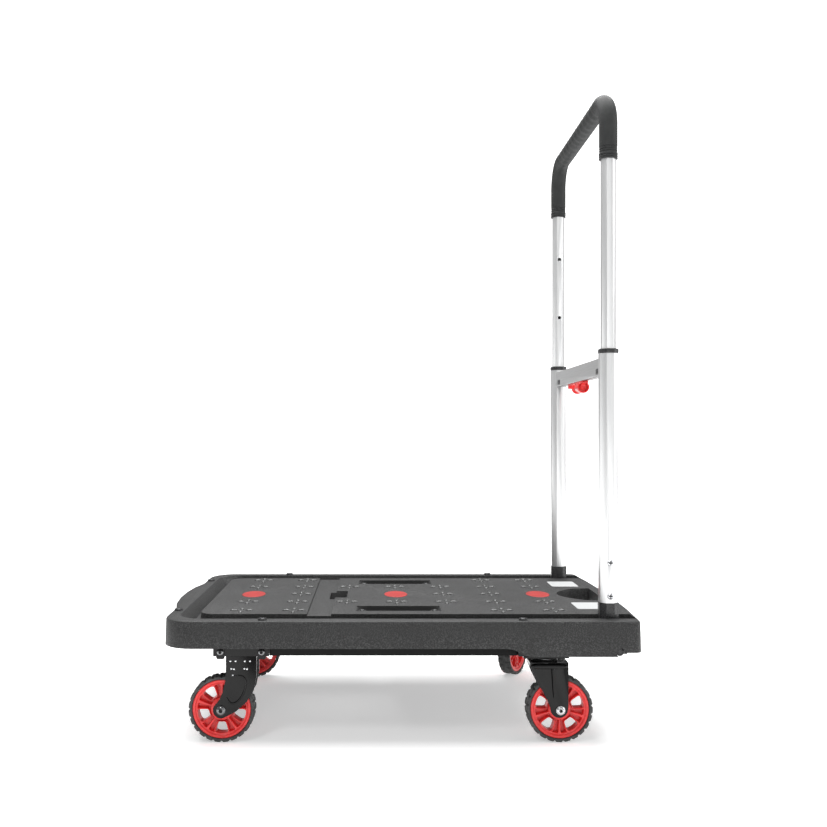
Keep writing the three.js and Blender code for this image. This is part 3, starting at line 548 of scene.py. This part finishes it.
def pocket_pans():
    """A near-black tray in each pocket, its colour partly a black insert and partly painted shade of the pocket: a
    rounded rectangle |x/a|^8 + |y/b|^8 = 1 shrunk to its middle, raised at its wall, with a screw on a round post
    at each end."""
    (x0, x1), (y0, y1) = POCKET_X, POCKET_Y
    bottom = TOP - POCKET_DEPTH
    angle = turned(72)
    reach = squared(angle, 8)
    draw = np.array([[0, 0.5, 1.0, 1.0, 0.985, 0.93, 0.9, 0]])
    rise = np.array([[-0.3, -0.3, -0.3, 8.0, 8.4, 1.2, 0.8, 0.8]]) * MM
    post = lathe(np.array([[0, -0.5], [7.4, -0.5], [6.9, 4.3], [6.5, 4.7], [0, 4.7]]) * MM)
    a, b = (x1 - x0) / 2 - POCKET_GAP, (y1 - y0) / 2 - POCKET_GAP
    pans, seats = Skin(), []
    for side in SIDES.values():
        x = (x0 + x1) / 2 + a * reach * np.cos(angle) * draw
        y = side * (y0 + y1) / 2 + b * reach * np.sin(angle) * draw
        pans.grid(x, y, bottom + 0.6 * MM + rise)
        for end in (x0 + POST_IN, x1 - POST_IN):
            place = Vector((end, side * (y0 + y1) / 2, bottom + 1.0 * MM))
            pans.put(post, Matrix.Translation(place))
            seats.append(Matrix.Translation(place + Vector((0, 0, POST_HEIGHT))))
    finished("pocket_pans", pans, RECESS_SHADE, "platform")
    fasteners("pocket_screws", seats, 4.2 * MM, 2.2 * MM, "cross", DULL_PLATE, "platform")


def badge(name):
    """An oval plate x = a r cos t, y = b r sin t, with a raised lip and a low domed middle."""
    low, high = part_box("badge_" + name)
    centre, size = (low + high) / 2, (high - low) / 2
    profile = [[0, 0.15], [0.4, 0.12], [0.8, 0.0], [0.86, -0.05], [0.89, 0.12], [0.96, 0.12], [0.985, 0.0],
               [1.0, -0.25], [1.0, -1.4], [0.5, -1.4], [0, -1.4]]
    draw, lift = np.array(profile).T
    angle = turned(96)
    x = centre.x + size.x * draw * np.cos(angle)
    y = centre.y + size.y * draw * np.sin(angle)
    skin = Skin().grid(x, y, high.z + lift[None, :] * MM)
    finished("badge_plate_" + name, skin, FINISHES["badge_red"], "platform", ["badge_" + name])


LABEL_AT = (314.5 * MM, 108.5 * MM)
LABEL_HALF = (24.5 * MM, 28.5 * MM)


def labels():
    """Two blank paper labels beside the hand hold: rounded rectangles |x/a|^20 + |y/b|^20 = 1,
    0.2 mm thick."""
    angle = turned(64)
    reach = squared(angle, 20)
    draw = np.array([[0, 0.5, 1.0, 1.0, 0.5, 0]])
    lift = np.array([[0.2, 0.2, 0.2, -0.05, -0.05, -0.05]]) * MM
    skin = Skin()
    for side in SIDES.values():
        x = LABEL_AT[0] + LABEL_HALF[0] * reach * np.cos(angle) * draw
        y = side * LABEL_AT[1] + LABEL_HALF[1] * reach * np.sin(angle) * draw
        skin.grid(x, y, TOP + lift)
    finished("blank_labels", skin, LABEL, "platform")


# ---- wheels -----------------------------------------------------------------------------------
LUGS = 24
LUG_DEPTH = (1.8, 0.7)  # how far the shoulder sinks between lugs, in radius and in half width, in mm
WINDOWS = 5


def tyre_skin():
    """A tyre's section turned round its axle. Between the lugs the shoulder sinks: radius and half width
    drop by the wave 1 / (1 + exp(-14 (cos LUGS a - 0.7))), half a pitch apart on the two sides."""
    flank = [[45.3, 10.8], [46.0, 11.9], [47.0, 12.4], [49.0, 12.5], [50.0, 12.2], [50.7, 11.4],
             [51.0, 10.2], [51.0, 6.6], [51.0, 3.6], [50.2, 2.8], [50.2, 1.2]]

    def lugs(angle, radius, height):
        side = np.sign(height)
        phase = LUGS * angle + np.where(side > 0, 0, math.pi)
        gap = 1 / (1 + np.exp(-14 * (np.cos(phase) - 0.70)))
        outer = np.clip((radius / MM - 48.2) / 1.6, 0, 1) * (np.abs(height) / MM > 3.0)
        sunk, narrowed = LUG_DEPTH
        return radius - sunk * MM * gap * outer, height - side * narrowed * MM * gap * outer

    return lathe(mirrored(flank), LUGS * 14, lugs)


def ring_skin():
    """The rim's outer ring: a rounded lip on each face, and a wall that leans in to the web."""
    half = [[45.0, 9.4], [44.8, 10.4], [44.2, 10.9], [43.2, 11.0], [41.6, 10.9], [40.7, 10.4], [40.3, 9.6],
            [39.9, 9.2], [38.9, 8.8], [38.3, 8.0], [38.0, 5.0]]
    return lathe(mirrored(half), 120)


def hub_skin():
    """The hub: a stepped boss round the bush, turned about the axle."""
    half = [[8.3, 11.0], [12.2, 11.0], [12.8, 10.6], [13.2, 9.8], [15.2, 9.6], [16.2, 9.0], [16.7, 7.6]]
    return lathe(mirrored(half), 60)


WINDOW_MIDDLE = 28.7  # the radius of a window's middle, in millimetres, like the sizes below it
WINDOW_HALF = (8.2, 8.7)  # round the wheel and out from the axle
WEB_REACH = (15.6, 39.0)  # from inside the hub to inside the ring
WEB_TOP, WEB_LOW = 8.8, 1.2  # half thickness at the ribs and at the slots between them


def web_skin():
    """Five window sectors. On each, rays from the window's middle carry these rows: the window's
    rounded edge |s/a|^5 + |q/b|^5 = 1, its raised wall, the low web, and half of the rib beside it.
    A row's place (s, q) is turned about the axle by the angle s over the middle radius, at radius q."""
    (a, b), top = WINDOW_HALF, WEB_TOP
    side = math.pi / WINDOWS * WINDOW_MIDDLE
    inner, outer = WINDOW_MIDDLE - WEB_REACH[0], WEB_REACH[1] - WINDOW_MIDDLE
    corners = [math.atan2(t * h, s * side) for s in (1, -1) for t, h in ((1, outer), (-1, inner))]
    rays = np.sort(np.unique(np.concatenate([np.linspace(-math.pi, math.pi, 96, endpoint=False), corners])))
    c, s = np.cos(rays), np.sin(rays)
    reach = np.where(s > 0, outer, inner)

    def rounded(grow):
        """The window's outline, grown by so much at its sides."""
        return (np.abs(c / (a + grow)) ** 5 + np.abs(s / (b + 0.4 * grow)) ** 5) ** (-1 / 5)

    def boxed(shrink):
        """The sector's straight outline, drawn in by so much."""
        with np.errstate(divide="ignore"):
            return np.minimum((side - shrink) / np.abs(c), (reach - shrink) / np.abs(s))

    room = np.clip((boxed(1.9) - rounded(2.2)) / 1.5, 0, 1)  # how much of a slot fits on a ray
    floor, lip = top - (top - WEB_LOW) * room, top - 0.5 * room
    rows = [(rounded(0), 0), (rounded(0), top - 1.2), (rounded(0.2), top - 0.4), (rounded(0.6), top),
            (rounded(1.4), top), (rounded(1.8), lip), (rounded(2.2), floor), (boxed(1.9), floor),
            (boxed(1.5), lip), (boxed(1.1), top), (boxed(0), top)]
    distance = np.maximum.accumulate(np.stack([row for row, _ in rows], 1), 1)
    height = np.stack([h + 0 * rays for _, h in rows], 1)
    across, radius = distance * c[:, None], WINDOW_MIDDLE + distance * s[:, None]
    turn = across / WINDOW_MIDDLE
    on_arc = np.abs(across[:, -1]) < side - 1e-6
    closing = on_arc | np.roll(on_arc, -1)
    skin = Skin()
    for k in range(WINDOWS):
        angle = turn - math.pi / 2 + k * TURN / WINDOWS
        x, y = radius * np.cos(angle) * MM, radius * np.sin(angle) * MM
        for face in (1, -1):
            skin.grid(x, y, face * height * MM)
        skin.grid(x[:, -1:], y[:, -1:], np.array([[top, -top]]) * MM, keep=closing)
    return skin


TYRE, RING, HUB, WEB = tyre_skin(), ring_skin(), hub_skin(), web_skin()


def wheel(name, phase):
    """One wheel, drawn round Z and laid along its axle, with its windows turned by a phase."""
    axis = Vector(JOINTS["wheel_" + name + "_spin"]["axis"])
    heading = math.atan2(-axis.x, axis.y)
    # a piece's own Y is up in the wheel's plane once its Z lies along the axle
    stand = Matrix.Rotation(heading, 4, "Z") @ Matrix.Rotation(math.pi / 2, 4, "X")
    place = Matrix.Translation(middle("tyre_" + name)) @ stand @ Matrix.Rotation(phase, 4, "Z")
    body = "wheel_" + name
    tyre = Skin().put(TYRE, place)
    finished("tyre_moulding_" + name, tyre, FINISHES["tyre"], body, ["tyre_" + name], sharp=50)
    rim = Skin().put(RING, place).put(HUB, place).put(WEB, place)
    finished("rim_moulding_" + name, rim, FINISHES["red_plastic"], body, ["rim_" + name])
    edged("wheel_bush_" + name, 0.5)


BOLT_HEAD = 3.5 * MM  # how far a head and its washer stand out


def axle_bolt(node, drive, finish):
    """A bolt through a fork, turned about its axle: a stem with a washer and a driven head at each end."""
    centre = middle(node)
    axis = Vector(JOINTS["wheel_" + node.replace("_axle", "") + "_spin"]["axis"])
    low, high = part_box(node.replace("right", "left"))  # the left bolts lie along Y, so their boxes fit them
    stem_end = (high.y - low.y) / 2 - BOLT_HEAD
    stem = lathe([[0, -stem_end], [4 * MM, -stem_end], [4 * MM, stem_end], [0, stem_end]], 24)
    flat = lathe(np.array([[0, 0], [7, 0], [7.2, 0.5], [6.8, 1.1], [0, 1.1]]) * MM, 40)
    more = Skin().put(stem, facing(centre, axis))
    seats = []
    for outward in (axis, -axis):
        more.put(flat, facing(centre + outward * stem_end, outward))
        seats.append(facing(centre + outward * (stem_end + 0.3 * MM), outward))
    fasteners(node + "_bolt", seats, 6.6 * MM, 3.2 * MM, drive, finish, BODY_OF[node], more, [node])


# ---- forks and brackets -----------------------------------------------------------------------
def bead(points, radius, samples=60, around=12):
    """A round bead along a smooth path through the points: p(u) + r(u) (n cos t + b sin t),
    where r(u) = R (1 - |2u - 1|^6)^(1/2) rounds its ends and b is the path's own flat direction."""
    points = np.array(points, float)
    knots = np.linspace(0, 1, len(points))
    u = np.linspace(0, 1, samples)
    degree = min(5, len(points) - 1)
    curves = [np.polynomial.Polynomial.fit(knots, points[:, k], degree) for k in range(3)]
    path = np.stack([curve(u) for curve in curves], 1)
    tangent = np.gradient(path, axis=0)
    tangent /= np.linalg.norm(tangent, axis=1)[:, None]
    flat = np.array([0.0, 1.0, 0.0])
    side = np.cross(tangent, flat)
    size = radius * np.sqrt(np.clip(1 - np.abs(2 * u - 1) ** 6, 0, 1))
    angle = (np.arange(around) * TURN / around)[None, :, None]
    outward = side[:, None, :] * np.cos(angle) + flat * np.sin(angle)
    ring = path[:, None, :] + size[:, None, None] * outward
    return Skin().grid(ring[..., 0].T, ring[..., 1].T, ring[..., 2].T)


# on a front fork's cheek, in millimetres along X and Z from the axle
FORK_RIB = [
    (16, 53.4), (30, 53.0), (37.6, 46.0), (36.6, 32.0),
    (28.5, 16.5), (18.5, 11.2), (11.5, 14.8), (8.2, 19.6),
]
# painted highlights: bright dots where round heads on a front fork's cheek show glints
FORK_GLINTS = [
    (14.5, 75.6), (22.5, 75.6), (36.5, 75.6), (44.5, 75.6),
    (16.0, 64.0), (20.0, 63.4), (36.0, 64.0), (40.0, 63.4), (18.5, 54.0),
]


def fork_details(name):
    """The pressed rib, a bead along its path, and small bright steel dots that are painted highlights, set where
    round heads show glints, on a front fork's cheeks.
    """
    centre = middle("front_axle_" + name)
    low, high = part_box("front_fork_" + name)
    ribs, glint_dots = Skin(), Skin()
    for face, y in ((-1, low.y), (1, high.y)):
        path = [(centre.x + x * MM, y, centre.z + z * MM) for x, z in FORK_RIB]
        ribs.put(bead(path, 1.5 * MM))
        for x, z in FORK_GLINTS:
            place = (centre.x + x * MM, y, centre.z + z * MM)
            # each bright dot is a painted glint
            glint_dots.put(head(1.5 * MM, 0.7 * MM, "none", 16), facing(place, (0, face, 0)))
    finished("front_fork_rib_" + name, ribs, FINISHES["black_steel"], "platform")
    finished("front_fork_rivets_" + name, glint_dots, FINISHES["bright_steel"], "platform")


BRACKET_BOLT_AT = (11.5 * MM, 7.0 * MM)  # in from a bracket's end, and up from its foot
LUG_HALF = (6.6 * MM, 9.0 * MM)


def bracket_bolts(name):
    """Two round-headed bolts on each face of a bracket and, on the front one, the rounded lugs
    |x/a|^6 + |z/b|^6 = 1 that carry them, which reach below it."""
    seats, lugs = [], Skin()
    angle = turned(48)
    reach = squared(angle, 6)
    draw = np.array([[0, 0.9, 0.97, 1.0, 1.0, 0.9, 0]])
    out = np.array([[1.0, 1.0, 0.9, 0.5, -0.2, -0.2, -0.2]])
    for end in ("front", "rear"):
        low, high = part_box(end + "_bracket_" + name)
        for x in (low.x + BRACKET_BOLT_AT[0], high.x - BRACKET_BOLT_AT[0]):
            for face, y in ((-1, low.y), (1, high.y)):
                seats.append(facing((x, y + face * MM, low.z + BRACKET_BOLT_AT[1]), (0, face, 0)))
                if end == "front":
                    lug_x = x + LUG_HALF[0] * reach * np.cos(angle) * draw
                    lug_z = low.z + 5.0 * MM + LUG_HALF[1] * reach * np.sin(angle) * draw
                    lugs.grid(lug_x, y + face * out * MM, lug_z)
    finished("bracket_lugs_" + name, lugs, FINISHES["black_steel"], "platform")
    fasteners("bracket_bolts_" + name, seats, 5.4 * MM, 3.2 * MM, "hex", DARK_PLATE, "platform")


def swivel_details(name):
    """A rear caster's pressed parts: two rounded ball-race rings turned about the kingpin, and beads
    for the rolled shoulder along each side of the crown and the crease down each leg."""
    centre = middle("kingpin_" + name)
    axis = Vector(JOINTS["wheel_rear_" + name + "_spin"]["axis"])
    heading = math.atan2(-axis.x, axis.y)
    turn = Matrix.Translation((centre.x, centre.y, 0)) @ Matrix.Rotation(heading, 4, "Z")
    plate_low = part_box("swivel_plate_" + name)[0].z
    half = [[15.0, 0.0], [18.6, 0.0], [20.0, 0.7], [20.5, 1.8], [20.1, 2.8], [19.0, 3.4], [15.0, 3.4]]
    ring = lathe(np.array(half) * MM, 60)
    upper = Skin().put(ring, Matrix.Translation((centre.x, centre.y, plate_low)))
    finished("upper_race_" + name, upper, DARK_PLATE, "platform")
    pressed = Skin().put(ring, turn @ Matrix.Translation((0, 0, plate_low - 3.9 * MM)))
    low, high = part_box("rear_fork_left")  # the left fork stands square, so its box fits it
    kingpin_x = middle("kingpin_left").x
    x0, x1 = low.x - kingpin_x + 1.5 * MM, high.x - kingpin_x - 1.5 * MM
    shoulder = plate_low - 9.2 * MM
    for face in (-1, 1):
        y = face * (high.y - low.y) / 2
        inset = y - face * 1.2 * MM
        crown = [(x, inset, shoulder) for x in (x0, 0, x1)]
        crease = [(x * MM, y, shoulder - drop * MM) for x, drop in ((10, 3), (10.5, 25), (12, 50))]
        pressed.put(bead(crown, 4.4 * MM), turn)
        pressed.put(bead(crease, 0.7 * MM), turn)
    finished("fork_pressing_" + name, pressed, FINISHES["black_steel"], "caster_" + name)


def rod_ends():
    """The caps on the two ends of the lock rod: a rounded button turned about Y."""
    low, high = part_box("fold_lock_rod")
    centre = (low + high) / 2
    profile = [[0, 4.4], [3.2, 4.4], [3.6, 3.9], [4.4, 3.9], [5.0, 4.6], [6.0, 4.4], [6.6, 3.6], [6.7, 0.2],
               [5.2, -0.3], [0, -0.3]]
    button = lathe(np.array(profile) * MM, 40)
    skin = Skin()
    for face, y in ((-1, low.y), (1, high.y)):
        skin.put(button, facing((centre.x, y, centre.z), (0, face, 0)))
    finished("rod_end_caps", skin, FINISHES["black_plastic"], "fold_lock")


# ---- handle -----------------------------------------------------------------------------------
GRIP_BEND = 45 * MM
GRIP_BORE = 11.6 * MM
GRIP_GROOVES = (2.8, 6.0, 11.5, 15.0, 18.5)  # millimetres from an end of the sleeve
FINGER_PITCH, FINE_PITCH = 22 * MM, 3.6 * MM
FINGER_DEPTH, FINE_DEPTH = 1.5 * MM, 0.28 * MM


def grip_sleeve():
    """A round sleeve along the handle's U: radius R less ring grooves near each end, and on the cross part
    less two sets of waves, long ones for the fingers and fine ones, on the side that faces the deck."""
    low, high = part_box("grip")
    radius = (high.x - low.x) / 2
    bend = GRIP_BEND
    x, reach, top = (low.x + high.x) / 2, high.y - radius, high.z - radius
    leg, cross = top - bend - low.z, 2 * (reach - bend)
    arc = bend * math.pi / 2
    total = 2 * leg + 2 * arc + cross
    s = np.unique(np.concatenate([np.linspace(0, total, 380), np.linspace(0, 24 * MM, 60),
                                  np.linspace(total - 24 * MM, total, 60)]))
    half = total / 2
    along = np.abs(s - half)
    bent = np.clip((along - cross / 2) / bend, 0, math.pi / 2)
    down = np.clip(along - cross / 2 - arc, 0, None)
    sign = np.sign(s - half)
    y = sign * (np.minimum(along, cross / 2) + bend * np.sin(bent))
    z = top - bend * (1 - np.cos(bent)) - down
    normal_y, normal_z = sign * np.sin(bent), np.cos(bent)
    from_end = np.minimum(s, total - s) / MM
    groove = sum(np.exp(-(((from_end - at) / 0.9) ** 4)) for at in GRIP_GROOVES)
    collar = 0.5 / (1 + np.exp(3 * np.clip(from_end - 9.0, -9, 9)))
    end = np.clip(from_end / 1.2, 0, 1)
    size = radius - MM * (1.2 * groove + 0.5 - collar) - 1.2 * MM * (1 - np.sqrt(1 - (1 - end) ** 2))
    hollow = 0.5 + 0.5 * np.cos(TURN * (s - half) / FINGER_PITCH)
    hollow = hollow * np.clip((cross / 2 - along) / (14 * MM), 0, 1)
    fine = 0.5 - 0.5 * np.cos(TURN * (s - half) / FINE_PITCH)
    fine = fine * np.clip((cross / 2 - along) / (8 * MM), 0, 1)
    angle = turned(56)
    inner = np.clip(np.cos(angle - math.radians(205)), 0, 1) ** 0.8
    r = size - inner * (FINGER_DEPTH * hollow + FINE_DEPTH * fine)
    # each end goes in to the bore and 3 mm up it
    ends = (0, 0, *range(len(s)), -1, -1)
    bore = np.full((len(angle), 2), GRIP_BORE)
    r = np.concatenate([bore, r, bore], 1)
    rise = np.zeros(len(ends))
    rise[[0, -1]] = 3 * MM
    y, z, normal_y, normal_z = (values[list(ends)] for values in (y, z, normal_y, normal_z))
    ring_y = y + r * np.sin(angle) * normal_y
    ring_z = z + r * np.sin(angle) * normal_z + rise
    skin = Skin().grid(x + r * np.cos(angle), ring_y, ring_z)
    finished("grip_sleeve", skin, FINISHES["grip_rubber"], BODY_OF["grip"], ["grip"], 60)


def block(x, y, z0, z1, half_x, half_y, power=8):
    """An upright block |x/a|^p + |y/b|^p = 1 at each height, drawn in at the top and the bottom."""
    angle = turned(48)
    reach = squared(angle, power)
    lip = 0.6 * MM
    closed = max(half_x, half_y)
    inset = np.array([[closed, lip, 0.18 * lip, 0, 0, 0.18 * lip, lip, closed]])
    z = np.array([[z0, z0, z0 + 0.3 * lip, z0 + lip, z1 - lip, z1 - 0.3 * lip, z1, z1]])
    a, b = np.clip(half_x - inset, 0, None), np.clip(half_y - inset, 0, None)
    return Skin().grid(x + a * reach * np.cos(angle), y + b * reach * np.sin(angle), z)


ALONG_Y = Matrix.Rotation(-math.pi / 2, 4, "X")  # turns a piece's own Z to +Y
ROLLER_UP = 10.2 * MM  # the roller's axle above the release handle's underside
SADDLE_UP, SADDLE_THICK = 20.4 * MM, 3.7 * MM


def release_handle():
    """The red release handle: a roller with dished ends, a waist and two flanges, turned about Y,
    under a rounded saddle that runs along the bar to a small end block, and the neck up into the bar."""
    low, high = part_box("release_grip")
    x = (low.x + high.x) / 2
    half = [[0, 20.5], [2.6, 20.4], [3.2, 21.6], [4.4, 21.6], [4.9, 19.8], [7.2, 20.2], [7.9, 25.0],
            [8.6, 25.6], [9.6, 25.6], [10.3, 24.8], [10.2, 21.6], [9.8, 20.8], [8.8, 20.2], [8.0, 19.4],
            [7.8, 17.0], [8.2, 9.0], [8.6, 0.0]]
    section = half + [[r, -h] for r, h in reversed(half[:-1])]
    roller = lathe(np.array(section) * MM, 64)
    skin = Skin().put(roller, Matrix.Translation((x, 0, low.z + ROLLER_UP)) @ ALONG_Y)
    top = low.z + SADDLE_UP
    under = top - SADDLE_THICK
    skin.put(block(x, 20 * MM, under, top, 6 * MM, 60 * MM, 12))
    skin.put(block(x, 0, under - 5 * MM, under + 1 * MM, 5.4 * MM, 24 * MM))
    skin.put(block(x, 0, under, high.z, 2 * MM, 10 * MM))
    skin.put(block(x, 71 * MM, under - 5.4 * MM, under + 1 * MM, 5.6 * MM, 8 * MM))
    finished("release_handle", skin, POLISHED_RED, "release", ["release_grip"])


def rounded_plate(centre, half, thin, power=8):
    """A flat plate |u/a|^p + |v/b|^p = 1 with softened rims; half holds its half sizes along X, Y and Z,
    and thin is the number of the axis it is thin along."""
    angle = turned(48)
    reach = squared(angle, power)
    draw = np.array([[0, 0.9, 1.0, 1.0, 0.9, 0]])
    out = np.array([[1.0, 1.0, 0.4, -0.4, -1.0, -1.0]])
    first, second = [axis for axis in range(3) if axis != thin]
    place = [None, None, None]
    place[first] = centre[first] + half[first] * reach * np.cos(angle) * draw
    place[second] = centre[second] + half[second] * reach * np.sin(angle) * draw
    place[thin] = centre[thin] + half[thin] * out
    return Skin().grid(*place)


TRIM_SPANS = ((-178, -44), (84, 178))  # in millimetres along the bar, clear of the release handle
SURROUND_AT = (154.8 * MM, 7.5 * MM)  # from the bar's middle, and up from its underside


def bar_trims():
    """Black trims of the cross bar, flat plates |u/a|^p + |v/b|^p = 1: a strip along its open underside,
    and a surround for each slot on its front face."""
    low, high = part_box("cross_bar")
    skin = Skin()
    for y0, y1 in TRIM_SPANS:
        place = ((low.x + high.x) / 2, (y0 + y1) / 2 * MM, low.z - 0.1 * MM)
        skin.put(rounded_plate(place, (6.8 * MM, (y1 - y0) / 2 * MM, 0.7 * MM), 2, 20))
    for side in SIDES.values():
        place = (low.x - 0.1 * MM, side * SURROUND_AT[0], low.z + SURROUND_AT[1])
        skin.put(rounded_plate(place, (0.5 * MM, 11.2 * MM, 4.8 * MM), 0))
    finished("bar_trims", skin, FINISHES["black_plastic"], BODY_OF["cross_bar"])


def tube_screws(name, side):
    """Two pan heads with a cross recess on the outer flat of a lower tube, and their turned shanks."""
    shank = lathe(np.array([[0, -5.2], [2, -5.2], [2, 0.1], [0, 0.1]]) * MM, 20)
    slot = "bright_steel"
    for node in ("tube_screw_%s_1" % name, "tube_screw_%s_2" % name):
        low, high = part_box(node)
        centre = (low + high) / 2
        centre.y = low.y + 2 * MM if side < 0 else high.y - 2 * MM
        seat = facing(centre, (0, side, 0))
        more = Skin().put(shank, seat)
        fasteners(node + "_head", [seat], 4.9 * MM, 2.6 * MM, "cross", FINISHES[slot], BODY_OF[node],
                  more, [node])


# ---- making the cart --------------------------------------------------------------------------
EDGE_WIDTHS = {  # in millimetres, of the pieces that there is one of on each side
    "front_bracket_": 1.0,
    "rear_bracket_": 1.0,
    "swivel_plate_": 1.0,
    "kingpin_": 0.8,
    "pivot_pin_": 0.5,
    "foot_": 1.0,
    "lower_tube_": 0.5,
    "collar_": 1.2,
    "bar_end_": 0.5,
    "lock_pin_": 0.5,
    "glide_": 0.4,
}

edged("deck", 1.4, segments=3)
tread()
rim_screws()
pocket_pans()
labels()
for where in ("front", "middle", "rear"):
    badge(where)
    if where != "middle":
        edged("cross_member_" + where, 0.6, RAIL_COAT)

for end in ("front", "rear"):
    for name in SIDES:
        wheel(end + "_" + name, 0 if end == "front" else math.pi / WINDOWS)

for name, side in SIDES.items():
    axle_bolt("front_axle_" + name, "hex", DARK_PLATE)
    axle_bolt("rear_axle_" + name, "star", FINISHES["bright_steel"])
    fork_details(name)
    bracket_bolts(name)
    swivel_details(name)
    tube_screws(name, side)
    edged("front_fork_" + name, 0.9)
    edged("rear_fork_" + name, 1.6, segments=3)
    edged("side_rail_" + name, 0.6, RAIL_COAT)
    for node, width in EDGE_WIDTHS.items():
        edged(node + name, width)
edged("fold_lock_rod", 0.8)
rod_ends()
edged("bar_insert", 0.4)
edged("cross_bar", 0.5, SHADED_BAR_METAL)
edged("upper_tube", 0.5)
grip_sleeve()
release_handle()
bar_trims()


# ---- floor, light and camera ------------------------------------------------------------------
STUDIO_RADIUS = 9


def backdrop(name, skin, material):
    """A flat or curved sheet of the studio."""
    mesh = bpy.data.meshes.new(name)
    mesh.from_pydata(skin.points[0].tolist(), [], skin.quads[0].tolist())
    mesh.shade_smooth()
    mesh.materials.append(material)
    sheet = bpy.data.objects.new(name, mesh)
    bpy.context.scene.collection.objects.link(sheet)
    return sheet


def floor():
    """A plain pale floor that glows more the farther it lies, and a white wall round the studio,
    x = R cos a, y = R sin a, which casts no light on the cart."""
    angle = turned(96)
    reach = np.linspace(0, STUDIO_RADIUS, 40)[None, :]
    paint = Finish("pale studio floor")
    cloud = paint.noise(0.8, 2)
    away = paint.node("VectorMath", {"operation": "LENGTH"}, {"Vector": paint.places()}, "Value")
    glow = paint.mix(paint.step(away, 0.9, 2.6), (0.42, 0.42, 0.42), (1.0, 1.0, 1.0))
    colour = paint.mix(cloud, (0.74, 0.74, 0.74), (0.76, 0.76, 0.76))
    paint.set(Base_Color=colour, Roughness=0.9, Emission_Color=glow, Emission_Strength=1.0)
    disc = Skin().grid(reach * np.cos(angle), reach * np.sin(angle), 0 * reach)
    backdrop("studio_floor", disc, paint.material)
    lit = Finish("lit white wall")
    lit.set(Base_Color=(0.9, 0.9, 0.9), Emission_Color=(1.0, 1.0, 1.0), Emission_Strength=1.0)
    height = np.linspace(-0.5, STUDIO_RADIUS, 20)[None, :]
    ring = Skin().grid(STUDIO_RADIUS * np.cos(angle), STUDIO_RADIUS * np.sin(angle), height)
    wall = backdrop("studio_wall", ring, lit.material)
    wall.visible_diffuse = False
    wall.visible_glossy = False
    wall.visible_shadow = False


def softbox(name, place, target, size, power):
    """A square soft light at a place, aimed at a target."""
    light = bpy.data.lights.new(name, "AREA")
    light.shape = "SQUARE"
    light.size = size
    light.energy = power
    lamp = bpy.data.objects.new(name, light)
    lamp.location = place
    aim = Vector(target) - Vector(place)
    lamp.rotation_euler = aim.to_track_quat("-Z", "Y").to_euler()
    bpy.context.scene.collection.objects.link(lamp)


def camera():
    """The viewing angle: level, from the cart's left side, 1.6 m from its middle plane."""
    lens = bpy.data.cameras.new("camera")
    lens.sensor_width = 36
    lens.lens = 40.27
    lens.shift_x = 0.0466
    lens.shift_y = 0.0236
    lens.clip_end = 60
    view = bpy.data.objects.new("camera", lens)
    view.location = (-0.0365, -1.6245, 0.476)
    view.rotation_euler = (math.pi / 2, 0, 0)
    bpy.context.scene.collection.objects.link(view)
    bpy.context.scene.camera = view


def studio():
    """A bright, even surround and four soft lights."""
    world = bpy.data.worlds.new("studio")
    world.use_nodes = True
    background = world.node_tree.nodes["Background"]
    background.inputs["Color"].default_value = (1.0, 1.0, 1.0, 1)
    background.inputs["Strength"].default_value = 0.38
    bpy.context.scene.world = world
    bpy.context.scene.view_settings.view_transform = "Standard"
    softbox("top softbox", (0.0, 0.5, 3.0), (0, 0, 0.2), 3.4, 225)
    softbox("right softbox", (2.8, -0.5, 1.3), (0.1, 0, 0.4), 2.0, 24)
    softbox("front softbox", (1.0, -3.6, 1.5), (0.1, 0, 0.5), 2.4, 12)
    softbox("key softbox", (-0.9, -1.9, 2.3), (0, 0, 0.3), 0.5, 13)


floor()
studio()
camera()
